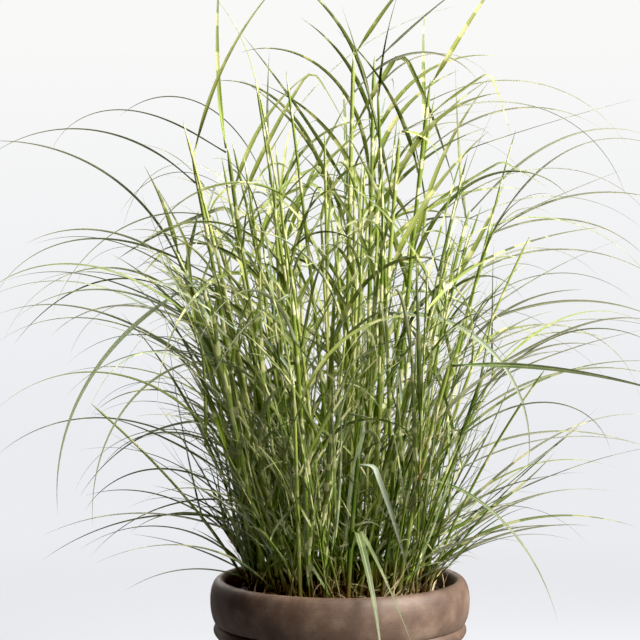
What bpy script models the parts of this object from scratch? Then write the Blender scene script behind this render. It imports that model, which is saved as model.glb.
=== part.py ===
"""Banded ornamental grass growing in a clay pot with a rolled rim.

Metres, +Z up. The origin is the middle of the pot's underside, -Y is the front and +X is the
right-hand side seen from there. The clump is a fan of leaning stems that stand on the potting mix,
each with one to four leaf blades that spring from its side and arch over.
"""

import math
from collections import namedtuple

import bmesh
import bpy
from mathutils import Quaternion, Vector

GAP = 0.0003                # clearance between pieces that touch

# The pot, turned round Z. Radii are of the outer face unless they say otherwise.
POT_HEIGHT = 0.360
POT_SEGMENTS = 40
FOOT_RADIUS = 0.126
FOOT_CHAMFER = 0.005
SHOULDER_RADIUS = 0.187     # body, right under the second ring
RING_RADIUS = 0.194         # second, thinner ring
RING_HEIGHT = 0.024
GROOVE_RADIUS = 0.1885      # between the second ring and the rolled rim
ROLL_RADIUS = 0.200         # widest part of the rolled rim
ROLL_HEIGHT = 0.068
ROLL_MIDDLE = 0.48          # where the roll is widest, as a share of its height from the top
ROLL_UNDERCUT = math.radians(62)  # how far the roll's curve turns under before it meets the groove
ROLL_FULLNESS = 0.85        # 1 is a true ellipse, less is a fuller roll
CREST_RADIUS = 0.184        # top of the rolled rim
LIP_DEPTH = 0.012           # how far down the inside the lip's rounding goes
MOUTH_RADIUS = 0.177        # inner face, right under the rolled rim's crest
WALL = 0.016
FLOOR = 0.022
DRAIN_RADIUS = 0.009
DRAIN_RING = 0.062          # distance of the drain holes from the pot's middle
DRAIN_HOLES = 3
DRAIN_SIDES = 12
BODY_STEPS = 5              # rings of faces down the body, the roll and the second ring
ROLL_STEPS = 8
RING_STEPS = 4

# The potting mix.
MIX_TOP = 0.336             # flat middle, where the stems stand
MIX_FLAT_RADIUS = 0.152
MIX_EDGE_DROP = 0.006       # how much lower it lies at the pot's wall
MIX_LUMP = 0.002            # height of the lumps round its edge

# The stems, with their leaf sheaths wrapped round them.
STEM_SIDES = 8
STEM_RINGS = 7
STEM_FOOT_RADIUS = 0.0042
STEM_TOP_RADIUS = 0.0026
STEM_UPRIGHT = 0.32         # how little of its lean a stem has at half height

# The leaf blades: a shallow keel in section, thin at both edges.
LEAF_RINGS = 15
LEAF_THICKNESS = 0.0011     # at the midrib
LEAF_KEEL = 0.24            # lift of the edges over the midrib, as a share of the half width
LEAF_BASE_WIDTH = 0.62      # width at the collar, as a share of the widest
LEAF_WIDEST = 0.25          # how far along the blade is widest
LEAF_TAPER = 1.6            # 1 is a straight taper to the tip, more keeps its width for longer
LEAF_TWIST = math.radians(40)    # most that a blade still turns about its length after its roll
LEAF_ROLLED_BY = 0.3        # how far along the blade its roll is complete
LEAF_DRIFT = math.radians(13)    # most that its heading wanders
LEAF_STANDOFF = 0.00015     # the flats of a stem lean towards a blade that rises beside it
CREASE_SPAN = 0.08          # length of a crease, as a share of the blade
CREASE_SHARE = 0.85         # share of the whole bend that happens in the crease

Stem = namedtuple("Stem", "foot top")
# Foot on the mix (x, y) and top (x, y, z).
STEMS = [
    Stem((-0.100, 0.010), (-0.174, 0.030, 1.026)),
    Stem((-0.125, -0.020), (-0.224, -0.050, 1.011)),
    Stem((-0.135, 0.030), (-0.250, 0.050, 0.862)),
    Stem((-0.110, -0.060), (-0.207, -0.120, 0.823)),
    Stem((0.005, 0.000), (0.021, 0.020, 1.170)),
    Stem((0.040, 0.030), (0.054, 0.080, 1.164)),
    Stem((0.070, -0.015), (0.136, -0.030, 1.120)),
    Stem((0.105, 0.020), (0.239, 0.040, 0.905)),
    Stem((0.125, -0.030), (0.217, -0.070, 0.685)),
    Stem((0.085, -0.085), (0.158, -0.170, 0.700)),
    Stem((0.010, -0.108), (0.026, -0.138, 0.565)),
    Stem((-0.045, -0.090), (-0.071, -0.200, 0.804)),
    Stem((0.045, -0.055), (0.088, -0.100, 1.045)),
    Stem((-0.060, 0.085), (-0.110, 0.210, 0.980)),
    Stem((0.085, 0.080), (0.213, 0.200, 0.929)),
    Stem((0.000, 0.125), (0.000, 0.250, 0.930)),
]

Leaf = namedtuple("Leaf", "stem along heading rise droop length width bend roll crease",
                  defaults=[None])
# Which stem, how far up it the collar sits (0 to 1), compass heading in degrees (0 is +X, 90 is
# +Y), angle from upright at the collar and at the tip in degrees, length, greatest width, how late
# the blade bends (1 is evenly, more is later), how far it rolls about its own length in degrees,
# and where along it a bent-over blade is creased.
LEAVES = [
    Leaf(1, 0.99, 180, 8, -6, 0.300, 0.0080, 1.0, -80),
    Leaf(1, 0.98, 180, 58, 162, 0.320, 0.0065, 2.1, 40),
    Leaf(1, 0.85, 4, 20, 152, 0.345, 0.0082, 1.0, 70, 0.70),
    Leaf(2, 0.99, 0, 12, 46, 0.310, 0.0070, 1.2, 70),
    Leaf(2, 0.93, 184, 46, 132, 0.360, 0.0065, 1.2, 40),
    Leaf(2, 0.72, 180, 60, 160, 0.385, 0.0070, 1.65, 45),
    Leaf(3, 0.99, 180, 10, 32, 0.150, 0.0085, 1.0, 80),
    Leaf(3, 0.89, 178, 14, 96, 0.430, 0.0070, 1.0, 40),
    Leaf(3, 0.05, 180, 38, 126, 0.290, 0.0068, 1.0, 50),
    Leaf(4, 0.99, 184, 118, 186, 0.430, 0.0095, 1.2, 55),
    Leaf(4, 0.74, 196, 66, 184, 0.350, 0.0065, 0.6, 40),
    Leaf(4, 0.04, 188, 58, 124, 0.220, 0.0052, 1.0, 40),
    Leaf(5, 0.99, 0, 30, 45, 0.200, 0.0080, 1.0, 80),
    Leaf(5, 0.92, -14, 38, 152, 0.230, 0.0070, 1.3, 50),
    Leaf(5, 0.85, -4, 26, 166, 0.370, 0.0090, 1.0, 80, 0.365),
    Leaf(5, 0.74, 186, 24, 40, 0.290, 0.0075, 0.5, 60),
    Leaf(6, 0.99, 4, 44, 56, 0.220, 0.0060, 1.0, 60),
    Leaf(6, 0.74, 176, 0, 110, 0.360, 0.0085, 1.5, 60),
    Leaf(7, 0.99, 2, 28, 38, 0.240, 0.0085, 1.0, 80),
    Leaf(7, 0.93, -8, 50, 166, 0.220, 0.0072, 1.0, 60, 0.5),
    Leaf(8, 0.99, 0, 32, 135, 0.350, 0.0062, 1.6, 40),
    Leaf(8, 0.70, -10, 60, 118, 0.320, 0.0065, 1.2, 40),
    Leaf(9, 0.99, -2, 60, 112, 0.280, 0.0070, 2.6, 45),
    Leaf(9, 0.26, 6, 64, 42, 0.230, 0.0075, 1.6, 75),
    Leaf(9, 0.09, 0, 34, 108, 0.345, 0.0072, 0.75, 50),
    Leaf(10, 0.99, -4, 84, 108, 0.340, 0.0090, 0.8, 65),
    Leaf(10, 0.52, -16, 80, 166, 0.310, 0.0068, 0.55, 50),
    Leaf(10, 0.05, -10, 54, 106, 0.280, 0.0055, 2.0, 40),
    Leaf(13, 0.33, 198, 10, 184, 0.250, 0.0100, 1.0, 75, 0.1),
    Leaf(11, 0.92, -18, 80, 166, 0.205, 0.0088, 0.6, 70, 0.1),
    Leaf(11, 0.38, -70, 28, 152, 0.270, 0.0125, 1.2, 0, 0.13),
    Leaf(12, 0.99, -150, 100, 152, 0.200, 0.0105, 0.6, 30),
    Leaf(12, 0.85, -112, 35, 160, 0.400, 0.0070, 1.0, 20),
    Leaf(12, 0.58, -170, 35, 140, 0.400, 0.0065, 1.2, 30),
    Leaf(13, 0.99, 8, 58, 162, 0.420, 0.0060, 1.2, 40),
    Leaf(13, 0.61, -10, 82, 190, 0.360, 0.0090, 0.95, 60),
    Leaf(13, 0.50, -95, 30, 150, 0.380, 0.0075, 1.1, 0),
    Leaf(14, 0.94, 142, 22, 122, 0.430, 0.0070, 1.2, 40),
    Leaf(14, 0.60, 112, 35, 140, 0.440, 0.0065, 1.1, 30),
    Leaf(15, 0.99, 8, 42, 114, 0.370, 0.0062, 1.6, 40),
    Leaf(16, 0.96, 176, 14, 102, 0.350, 0.0090, 2.0, 60),
    Leaf(16, 0.72, 90, 40, 150, 0.400, 0.0070, 1.0, 0),
]


def clay_body_radius(height):
    """Outer radius of the pot's body: a soft belly that is nearly upright under the rings."""
    share = height / (POT_HEIGHT - ROLL_HEIGHT - RING_HEIGHT)
    return FOOT_RADIUS + (SHOULDER_RADIUS - FOOT_RADIUS) * math.sin(share * math.pi / 2)


def inner_profile():
    """The pot's inner face as (radius, height), from the floor up to the rim's crest."""
    ring_foot = POT_HEIGHT - ROLL_HEIGHT - RING_HEIGHT
    heights = [FLOOR + (ring_foot - FLOOR) * step / BODY_STEPS for step in range(BODY_STEPS + 1)]
    points = [(clay_body_radius(height) - WALL, height) for height in heights]
    points.append((MOUTH_RADIUS, POT_HEIGHT - LIP_DEPTH))
    points.append((MOUTH_RADIUS + (CREST_RADIUS - MOUTH_RADIUS) * 0.3, POT_HEIGHT - LIP_DEPTH * 0.3))
    return points


def outer_profile():
    """The pot's outer face as (radius, height), from the rim's crest down to the foot."""
    groove = POT_HEIGHT - ROLL_HEIGHT
    middle = POT_HEIGHT - ROLL_HEIGHT * ROLL_MIDDLE
    upper = POT_HEIGHT - middle
    lower = (middle - groove) / math.sin(ROLL_UNDERCUT)
    points = []
    for step in range(ROLL_STEPS + 1):
        angle = math.pi / 2 - (math.pi / 2 + ROLL_UNDERCUT) * step / ROLL_STEPS
        radius = CREST_RADIUS + (ROLL_RADIUS - CREST_RADIUS) * math.cos(angle) ** ROLL_FULLNESS
        points.append((radius, middle + (upper if angle > 0 else lower) * math.sin(angle)))
    points.append((GROOVE_RADIUS, groove))
    for step in range(1, RING_STEPS + 1):
        share = step / RING_STEPS
        base = GROOVE_RADIUS + (SHOULDER_RADIUS - GROOVE_RADIUS) * share
        bulge = (RING_RADIUS - SHOULDER_RADIUS) * math.sin(math.pi * share)
        points.append((base + bulge, groove - RING_HEIGHT * share))
    body_top = groove - RING_HEIGHT
    for step in range(1, BODY_STEPS + 1):
        height = body_top + (FOOT_CHAMFER - body_top) * step / BODY_STEPS
        points.append((clay_body_radius(height), height))
    points.append((FOOT_RADIUS - FOOT_CHAMFER, 0.0))
    return points


def revolve(name, profile, segments, lift=None):
    """A closed turned mesh from a profile that starts and ends with a flat cap."""
    mesh = bpy.data.meshes.new(name)
    shape = bmesh.new()
    rings = []
    for index, (radius, height) in enumerate(profile):
        ring = []
        for segment in range(segments):
            angle = math.tau * segment / segments
            extra = lift(index, angle) if lift else 0.0
            ring.append(shape.verts.new((radius * math.cos(angle), radius * math.sin(angle),
                                         height + extra)))
        rings.append(ring)
    for lower, upper in zip(rings, rings[1:]):
        for segment in range(segments):
            after = (segment + 1) % segments
            shape.faces.new((lower[segment], lower[after], upper[after], upper[segment]))
    shape.faces.new(list(reversed(rings[0])))
    shape.faces.new(rings[-1])
    bmesh.ops.recalc_face_normals(shape, faces=shape.faces)
    shape.to_mesh(mesh)
    shape.free()
    return mesh


def finish(name, colour, roughness):
    """A plain dielectric finish for one kind of piece."""
    material = bpy.data.materials.new(name)
    material.use_nodes = True
    shader = material.node_tree.nodes["Principled BSDF"]
    shader.inputs["Base Color"].default_value = (*colour, 1.0)
    shader.inputs["Roughness"].default_value = roughness
    shader.inputs["Metallic"].default_value = 0.0
    return material


def add_piece(name, mesh, material):
    """Put a mesh in the scene as a named piece, shaded smooth over its gentle edges."""
    piece = bpy.data.objects.new(name, mesh)
    bpy.context.collection.objects.link(piece)
    mesh.materials.append(material)
    mesh.shade_smooth()
    mesh.set_sharp_from_angle(angle=math.radians(40))
    return piece


def make_pot(material):
    """The fired clay pot: one turned body with drain holes bored through its floor."""
    profile = inner_profile() + outer_profile()
    pot = add_piece("pot", revolve("pot", profile, POT_SEGMENTS), material)
    for hole in range(DRAIN_HOLES):
        angle = math.tau * (hole + 0.5) / DRAIN_HOLES
        bpy.ops.mesh.primitive_cylinder_add(
            vertices=DRAIN_SIDES, radius=DRAIN_RADIUS, depth=FLOOR * 3,
            location=(DRAIN_RING * math.cos(angle), DRAIN_RING * math.sin(angle), FLOOR / 2))
        drill = bpy.context.object
        drill.name = f"drain_drill_{hole + 1}"
        drill.hide_render = True
        drill.display_type = "WIRE"
        cut = pot.modifiers.new(drill.name, "BOOLEAN")
        cut.operation = "DIFFERENCE"
        cut.object = drill
    return pot


def make_soil(material):
    """The potting mix, poured to the pot's inner wall, flat in the middle and lumpy at its edge."""
    edge = MIX_TOP - MIX_EDGE_DROP
    wall = [(radius - GAP, height + GAP) for radius, height in inner_profile() if height < edge]
    below, above = inner_profile()[len(wall) - 1:len(wall) + 1]
    share = (edge - below[1]) / (above[1] - below[1])
    wall.append((below[0] + (above[0] - below[0]) * share - GAP, edge))
    brow = ((MIX_FLAT_RADIUS + MOUTH_RADIUS) / 2, MIX_TOP - MIX_EDGE_DROP / 2)
    profile = wall + [brow, (MIX_FLAT_RADIUS, MIX_TOP)]

    def lump(index, angle):
        on_brow = index == len(wall)
        return MIX_LUMP * math.sin(7 * angle) * math.cos(3 * angle) if on_brow else 0.0

    return add_piece("soil", revolve("soil", profile, POT_SEGMENTS, lump), material)


def stem_point(stem, share):
    """Centre line of a stem: it leaves the mix nearly upright and leans more as it rises."""
    foot = Vector((*stem.foot, MIX_TOP + GAP))
    top = Vector(stem.top)
    knee = foot.lerp(top, 0.5)
    knee.x = foot.x + (top.x - foot.x) * STEM_UPRIGHT
    knee.y = foot.y + (top.y - foot.y) * STEM_UPRIGHT
    return foot.lerp(knee, share).lerp(knee.lerp(top, share), share)


def stem_direction(stem, share):
    """Unit vector along the stem's centre line."""
    return (stem_point(stem, share + 0.01) - stem_point(stem, share - 0.01)).normalized()


def stem_radius(share):
    """The sheaths make the stem thickest at its foot."""
    return STEM_FOOT_RADIUS + (STEM_TOP_RADIUS - STEM_FOOT_RADIUS) * share


def loft(name, rings, tip=None):
    """A closed tube through rings of equal count, capped flat or drawn to one point."""
    mesh = bpy.data.meshes.new(name)
    shape = bmesh.new()
    loops = [[shape.verts.new(point) for point in ring] for ring in rings]
    sides = len(loops[0])
    for lower, upper in zip(loops, loops[1:]):
        for side in range(sides):
            after = (side + 1) % sides
            # The diagonals of a blade's two skins run side by side, so the skins never cross.
            if side % 2:
                shape.faces.new((lower[side], lower[after], upper[side]))
                shape.faces.new((lower[after], upper[after], upper[side]))
            else:
                shape.faces.new((lower[side], lower[after], upper[after]))
                shape.faces.new((lower[side], upper[after], upper[side]))
    shape.faces.new(list(reversed(loops[0])))
    if tip is None:
        shape.faces.new(loops[-1])
    else:
        point = shape.verts.new(tip)
        for side in range(sides):
            shape.faces.new((loops[-1][side], loops[-1][(side + 1) % sides], point))
    bmesh.ops.recalc_face_normals(shape, faces=shape.faces)
    shape.to_mesh(mesh)
    shape.free()
    return mesh


def make_stem(number, stem, material):
    """One stem: a tapering tube whose foot is cut level, to stand on the mix."""
    rings = []
    for step in range(STEM_RINGS):
        share = step / (STEM_RINGS - 1)
        centre = stem_point(stem, share)
        along = Vector((0, 0, 1)) if step == 0 else stem_direction(stem, share)
        across = along.cross(Vector((0, 1, 0))).normalized()
        radius = stem_radius(share)
        ring = []
        for side in range(STEM_SIDES):
            turn = Quaternion(along, math.tau * side / STEM_SIDES)
            ring.append(centre + turn @ across * radius)
        rings.append(ring)
    return add_piece(f"stem_{number:02d}", loft("stem", rings), material)


def leaf_width(leaf, share):
    """Full width of the blade: waisted at the collar, widest at a quarter, then a long taper."""
    opened = math.sin(min(share / LEAF_WIDEST, 1.0) * math.pi / 2)
    waist = LEAF_BASE_WIDTH + (1 - LEAF_BASE_WIDTH) * opened
    return leaf.width * waist * (1 - share ** LEAF_TAPER)


def leaf_tilt(leaf, share):
    """Angle of the blade from upright, in radians."""
    turned = share ** leaf.bend
    if leaf.crease:
        folded = min(max((share - leaf.crease) / CREASE_SPAN + 0.5, 0.0), 1.0)
        turned = (1 - CREASE_SHARE) * turned + CREASE_SHARE * folded
    return math.radians(leaf.rise + (leaf.droop - leaf.rise) * turned)


def leaf_frames(number, leaf, steps):
    """Centre, across and up vectors along a blade, from its collar on the stem's side."""
    stem = STEMS[leaf.stem - 1]
    along = stem_direction(stem, leaf.along)
    heading = math.radians(leaf.heading)
    outward = Vector((math.cos(heading), math.sin(heading), 0))
    outward = (outward - along * outward.dot(along)).normalized()
    reach = stem_radius(leaf.along) + GAP + LEAF_STANDOFF + LEAF_THICKNESS / 2
    centre = stem_point(stem, leaf.along) + outward * reach
    drift = LEAF_DRIFT * math.sin(2.4 * number)
    twist = LEAF_TWIST * math.cos(1.7 * number)
    frames = []
    for step in range(steps + 1):
        share = step / steps
        tilt = leaf_tilt(leaf, share + 0.5 / steps)
        turn = heading + drift * share
        level = Vector((math.cos(turn), math.sin(turn), 0))
        tangent = level * math.sin(tilt) + Vector((0, 0, math.cos(tilt)))
        across = Vector((-math.sin(turn), math.cos(turn), 0))
        rolled = math.sin(min(share / LEAF_ROLLED_BY, 1.0) * math.pi / 2)
        spin = Quaternion(tangent, twist * share + math.radians(leaf.roll) * rolled)
        across = spin @ across
        frames.append((centre.copy(), across, tangent.cross(across), share))
        centre += tangent * (leaf.length / steps)
    return frames


def make_leaf(number, leaf, material):
    """One leaf blade: four points to a ring, both edges lifted over the midrib."""
    frames = leaf_frames(number, leaf, LEAF_RINGS)
    rings = []
    for centre, across, up, share in frames[:-1]:
        half = leaf_width(leaf, share) / 2
        thick = LEAF_THICKNESS / 2 * math.sqrt(2 * half / leaf.width)
        lift = up * (LEAF_KEEL * half)
        rings.append([centre + across * half + lift, centre + up * thick,
                      centre - across * half + lift, centre - up * thick])
    return add_piece(f"leaf_{number:02d}", loft("leaf", rings, frames[-1][0]), material)


def main():
    for old in list(bpy.data.objects):
        bpy.data.objects.remove(old, do_unlink=True)
    make_pot(finish("fired clay", (0.19, 0.13, 0.10), 0.85))
    make_soil(finish("potting mix", (0.03, 0.022, 0.016), 0.95))
    sheath = finish("sheathed stem", (0.24, 0.30, 0.08), 0.55)
    blade = finish("leaf blade", (0.12, 0.20, 0.05), 0.50)
    for number, stem in enumerate(STEMS, start=1):
        make_stem(number, stem, sheath)
    for number, leaf in enumerate(LEAVES, start=1):
        make_leaf(number, leaf, blade)


main()
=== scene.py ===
# %% [markdown]
# # A clump of banded grass in a clay pot
#
# This lesson dresses a potted ornamental grass. The frame that it starts from holds the plain
# solids: the pot, the potting mix, sixteen stems and forty-two leaves, all at their real size in
# metres, with +Z up and the front of the plant towards -Y. Every step below either finishes one of
# those solids or adds the growth that is too fine for them.

# %% The frame and its size
import math
from functools import partial

import bmesh
import bpy
import numpy as np
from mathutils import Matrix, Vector, noise


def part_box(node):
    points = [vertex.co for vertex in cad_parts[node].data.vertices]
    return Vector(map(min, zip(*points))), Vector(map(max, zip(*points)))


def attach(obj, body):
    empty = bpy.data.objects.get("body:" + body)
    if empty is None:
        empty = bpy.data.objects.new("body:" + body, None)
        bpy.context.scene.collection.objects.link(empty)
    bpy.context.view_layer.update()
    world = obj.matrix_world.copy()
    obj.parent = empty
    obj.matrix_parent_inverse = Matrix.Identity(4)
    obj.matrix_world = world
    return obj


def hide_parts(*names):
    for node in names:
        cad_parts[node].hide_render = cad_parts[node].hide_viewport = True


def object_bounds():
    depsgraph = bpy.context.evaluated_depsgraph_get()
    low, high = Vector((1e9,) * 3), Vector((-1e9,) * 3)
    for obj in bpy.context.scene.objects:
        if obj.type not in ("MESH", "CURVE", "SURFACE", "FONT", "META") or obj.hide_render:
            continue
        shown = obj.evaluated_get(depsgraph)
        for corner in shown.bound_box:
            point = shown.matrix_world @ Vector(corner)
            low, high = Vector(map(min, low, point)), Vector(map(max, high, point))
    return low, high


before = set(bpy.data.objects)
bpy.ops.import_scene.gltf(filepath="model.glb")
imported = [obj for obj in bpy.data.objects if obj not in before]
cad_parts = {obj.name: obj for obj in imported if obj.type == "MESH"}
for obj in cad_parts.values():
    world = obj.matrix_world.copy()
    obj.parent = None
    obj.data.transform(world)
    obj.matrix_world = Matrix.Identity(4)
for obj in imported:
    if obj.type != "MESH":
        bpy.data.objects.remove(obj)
CAD_BOX = [list(corner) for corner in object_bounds()]
print("The plain solids reach from", CAD_BOX[0], "to", CAD_BOX[1])

# %% [markdown]
# ## Small helpers
#
# Colours are easiest to pick as the hex values that a paint program shows. Shaders want linear
# light instead, so one function turns the first into the second. Node materials are built with one
# more function, which adds a node, sets its options and values, links what feeds it, and gives
# back the output that the next node needs.

# %% Colours and nodes
MILLIMETRE = 0.001
OF_COLOURS = {"data_type": "RGBA", "out": 2}        # what a Mix node needs to mix two colours


def linear(hex_colour):
    """The linear red, green, blue and alpha of an sRGB hex colour such as #7d8f3f."""
    channels = [int(hex_colour[place:place + 2], 16) / 255 for place in (1, 3, 5)]
    return (*[c / 12.92 if c <= 0.04045 else ((c + 0.055) / 1.055) ** 2.4 for c in channels], 1.0)


def palette(**colours):
    """Named hex colours, all turned to linear."""
    return {name: linear(hex_colour) for name, hex_colour in colours.items()}


def add_node(tree, kind, inputs=None, stops=(), out=0, **settings):
    """Add a node. inputs maps sockets to values or to other nodes' outputs, stops fill a ramp."""
    made = tree.nodes.new("ShaderNode" + kind)
    for name, value in settings.items():
        setattr(made, name, value)
    for socket, value in (inputs or {}).items():
        if isinstance(value, bpy.types.NodeSocket):
            tree.links.new(value, made.inputs[socket])
        else:
            made.inputs[socket].default_value = value
    for place, (position, colour) in enumerate(stops):
        elements = made.color_ramp.elements
        stop = elements[place] if place < 2 else elements.new(position)
        stop.position = position
        stop.color = colour
    return made.outputs[out] if made.outputs else made


def new_material(name):
    """An empty node material, and the function that adds a node to it."""
    material = bpy.data.materials.new(name)
    material.use_nodes = True
    material.node_tree.nodes.clear()
    return material, partial(add_node, material.node_tree)


print("A mid green in linear light:", [round(channel, 3) for channel in linear("#7d8f3f")])

# %% [markdown]
# Every mesh below starts either as a bmesh, which is easy to edit, or as lists of numbers. Two
# more helpers turn a bmesh into a mesh and put an object in the scene.

# %% Meshes and objects
def as_mesh(name, shape):
    """A mesh from an edited bmesh, which is freed."""
    mesh = bpy.data.meshes.new(name)
    shape.to_mesh(mesh)
    shape.free()
    return mesh


def put(name, data):
    """A new object in the scene."""
    made = bpy.data.objects.new(name, data)
    bpy.context.scene.collection.objects.link(made)
    return made


# %% [markdown]
# ## The camera
#
# The rim of the pot is a circle, so the flatness of its ellipse gives the height of the eye, and
# its place under the horizon gives the tilt. A long lens from a little over three metres keeps the
# pot's sides nearly parallel, as a portrait of a plant has them.

# %% A long lens at the height of the leaves
CAMERA_PLACE = (-0.0306, -3.2, 0.901)
CAMERA_PITCH = math.radians(2.6)

camera = put("camera", bpy.data.cameras.new("camera"))
camera.location = CAMERA_PLACE
camera.rotation_euler = (math.pi / 2 - CAMERA_PITCH, 0, 0)
camera.data.lens = 117.7
camera.data.sensor_width = 36.0
camera.data.sensor_fit = "HORIZONTAL"
bpy.context.scene.camera = camera
print("The camera stands", round(Vector(CAMERA_PLACE).xy.length, 2), "m from the pot's middle")

# %% [markdown]
# ## The studio's backdrop
#
# A studio has a pale backdrop. It could be modelled as a sheet, but its light would then fill
# every shadow. Here the sky is asked what kind of ray is looking: the camera sees a bright
# backdrop, and the plant only gets a dimmer, softer light from it. A camera also shows the
# deepest shade as black, so the curve of the view starts a little above zero.

# %% The view and the backdrop
STUDIO = palette(backdrop_low="#ebecf0", backdrop_high="#f9f9f8", front="#24270f",
                 behind="#eff2ee", floor="#9da0a6", shaded_floor="#6c6c6c")
FILL_STRENGTH = 0.2
BLACK_POINT = (0.006, 0.006, 0.0045)

view = bpy.context.scene.view_settings
view.view_transform = "Standard"
view.use_curve_mapping = True
view.curve_mapping.black_level = BLACK_POINT

world = bpy.data.worlds.new("pale studio")
bpy.context.scene.world = world
world.use_nodes = True
world.node_tree.nodes.clear()
add = partial(add_node, world.node_tree)
direction = add("TexCoord", out="Generated")
_, depth, height = add("SeparateXYZ", {0: direction}, out=slice(0, 3))
climb = add("MapRange", {"Value": height, "From Min": -0.10, "From Max": 0.09})
backdrop = add("ValToRGB", {0: climb},
               stops=[(0, STUDIO["backdrop_low"]), (1, STUDIO["backdrop_high"])])
seen = add("Background", {"Color": backdrop})
back = add("MapRange", {"Value": depth, "From Min": -0.7, "From Max": 0.9})
around = add("Mix", {0: back, 6: STUDIO["front"], 7: STUDIO["behind"]}, **OF_COLOURS)
felt = add("Background", {"Color": around, "Strength": FILL_STRENGTH})
ray = add("LightPath", out="Is Camera Ray")
add("OutputWorld", {0: add("MixShader", {0: ray, 1: felt, 2: seen})})
print("The view is", view.view_transform, "with its black point at", BLACK_POINT)

# %% [markdown]
# The floor is a plain disc with matt paint, which gives the eye an even shadow near the pot.
# Further out it fades into the backdrop, by shining with the backdrop's own colour, so that no
# horizon shows. A sheet of paper curved up behind the plant would hide the horizon too, but it
# would also throw light back on the plant.

# %% The floor
FLOOR_RADIUS = 3.4
FADES_FROM, FADES_TO = 0.5, 3.0         # distance from the pot, in metres

material, add = new_material("painted studio floor")
place = add("NewGeometry", out="Position")
distance = add("VectorMath", {0: place}, out="Value", operation="LENGTH")
fade = add("MapRange", {"Value": distance, "From Min": FADES_FROM, "From Max": FADES_TO},
           interpolation_type="SMOOTHSTEP")
ray = add("LightPath", out="Is Camera Ray")
dull = add("BsdfDiffuse", {"Color": STUDIO["shaded_floor"]})
paint = add("BsdfDiffuse", {"Color": STUDIO["floor"]})
near = add("MixShader", {0: ray, 1: dull, 2: paint})
shining = add("Emission", {"Color": STUDIO["backdrop_low"]})
far = add("MixShader", {0: ray, 1: dull, 2: shining})
add("OutputMaterial", {0: add("MixShader", {0: fade, 1: near, 2: far})})

shape = bmesh.new()
bmesh.ops.create_circle(shape, cap_ends=True, segments=96, radius=FLOOR_RADIUS)
floor = put("studio_floor", as_mesh("studio_floor", shape))
floor.data.materials.append(material)
print("The floor is", 2 * FLOOR_RADIUS, "m across")

# %% [markdown]
# One big window on the right gives the light. Two weaker ones, above and behind, shine through the
# thin leaves from the other side. An area light is the simplest stand-in for a window: the larger
# it is, the softer the edges of its shadows.

# %% The windows
def add_window(name, place, aim, size, power, colour):
    """One soft square light at place, turned towards aim."""
    lamp = bpy.data.lights.new(name, "AREA")
    lamp.energy = power
    lamp.size = size
    lamp.color = linear(colour)[:3]
    window = put(name, lamp)
    window.location = place
    window.rotation_euler = (Vector(aim) - Vector(place)).to_track_quat("-Z", "Y").to_euler()


add_window("window_right", (2.8, -1.5, 2.7), (0, 0, 0.6), 2.8, 540, "#fff9f2")
add_window("window_above", (0.2, 0.9, 3.2), (0, 0, 0.9), 2.0, 95, "#fffdf8")
add_window("window_behind", (-1.2, 2.6, 2.6), (0, 0, 0.8), 2.2, 95, "#fffdf8")
print("Lights:", [light.name for light in bpy.data.lights])

# %% [markdown]
# ## Fired clay
#
# The pot is earthenware, thrown on a wheel and fired to a dull brown. Its surface isn't glazed, so
# it has no mirror gloss, but a fine slip was wiped over it while it turned, and that gives the eye
# a soft sheen on the roll and thin level lines. Lime from the water leaves a pale bloom. Grooves
# could be modelled, but they are finer than the mesh. Noise that is squeezed flat draws the same
# level lines and never repeats.

# %% The clay's colour, turning marks and bloom
CLAY = palette(dark="#46342b", body="#635043", bloom="#837162", speck="#2f241e")
BLACK, WHITE = (0.0, 0.0, 0.0, 1.0), (1.0, 1.0, 1.0, 1.0)
BLOOM_SIZE = 60 * MILLIMETRE
SPECK_SIZE = 2.2 * MILLIMETRE
TURNING_MARK = 1.6 * MILLIMETRE     # spacing of the marks that the potter's fingers leave
MARK_LENGTH = 1 / 6                 # how far round the pot a mark keeps its shape, in metres
GROG_SIZE = MILLIMETRE / 0.9        # the coarse grains in the clay


def fired_clay():
    """Unglazed brown earthenware with level turning marks and a pale bloom."""
    material, add = new_material("slip-wiped earthenware")
    place = add("TexCoord", out="Object")
    patches = add("TexNoise", {"Vector": place, "Scale": 1 / BLOOM_SIZE, "Detail": 6.0,
                               "Roughness": 0.62})
    base = add("ValToRGB", {0: patches},
               stops=[(0.28, CLAY["dark"]), (0.72, CLAY["bloom"]), (0.5, CLAY["body"])])
    specks = add("TexNoise", {"Vector": place, "Scale": 1 / SPECK_SIZE, "Detail": 2.0})
    speckle = add("ValToRGB", {0: specks}, stops=[(0.66, BLACK), (0.74, WHITE)])
    spotted = add("Mix", {0: speckle, 6: base, 7: CLAY["speck"]}, **OF_COLOURS)
    level = add("Mapping", {"Vector": place,
                            "Scale": (1 / MARK_LENGTH, 1 / MARK_LENGTH, 1 / TURNING_MARK)})
    marks = add("TexNoise", {"Vector": level, "Scale": 1.0, "Detail": 3.0})
    lined = add("Mix", {0: 0.16, 6: spotted, 7: marks}, blend_type="OVERLAY", **OF_COLOURS)
    grog = add("TexNoise", {"Vector": place, "Scale": 1 / GROG_SIZE, "Detail": 3.0})
    rises = add("Math", {0: marks, 1: grog}, operation="ADD")
    bump = add("Bump", {"Height": rises, "Strength": 0.35, "Distance": 0.3 * MILLIMETRE})
    sheen = add("MapRange", {"Value": patches, "To Min": 0.46, "To Max": 0.68})
    skin = add("BsdfPrincipled", {"Base Color": lined, "Roughness": sheen, "IOR": 1.5,
                                  "Normal": bump})
    add("OutputMaterial", {0: skin})
    return material


CLAY_FINISH = fired_clay()
print("The pot's finish:", CLAY_FINISH.name)

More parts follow.
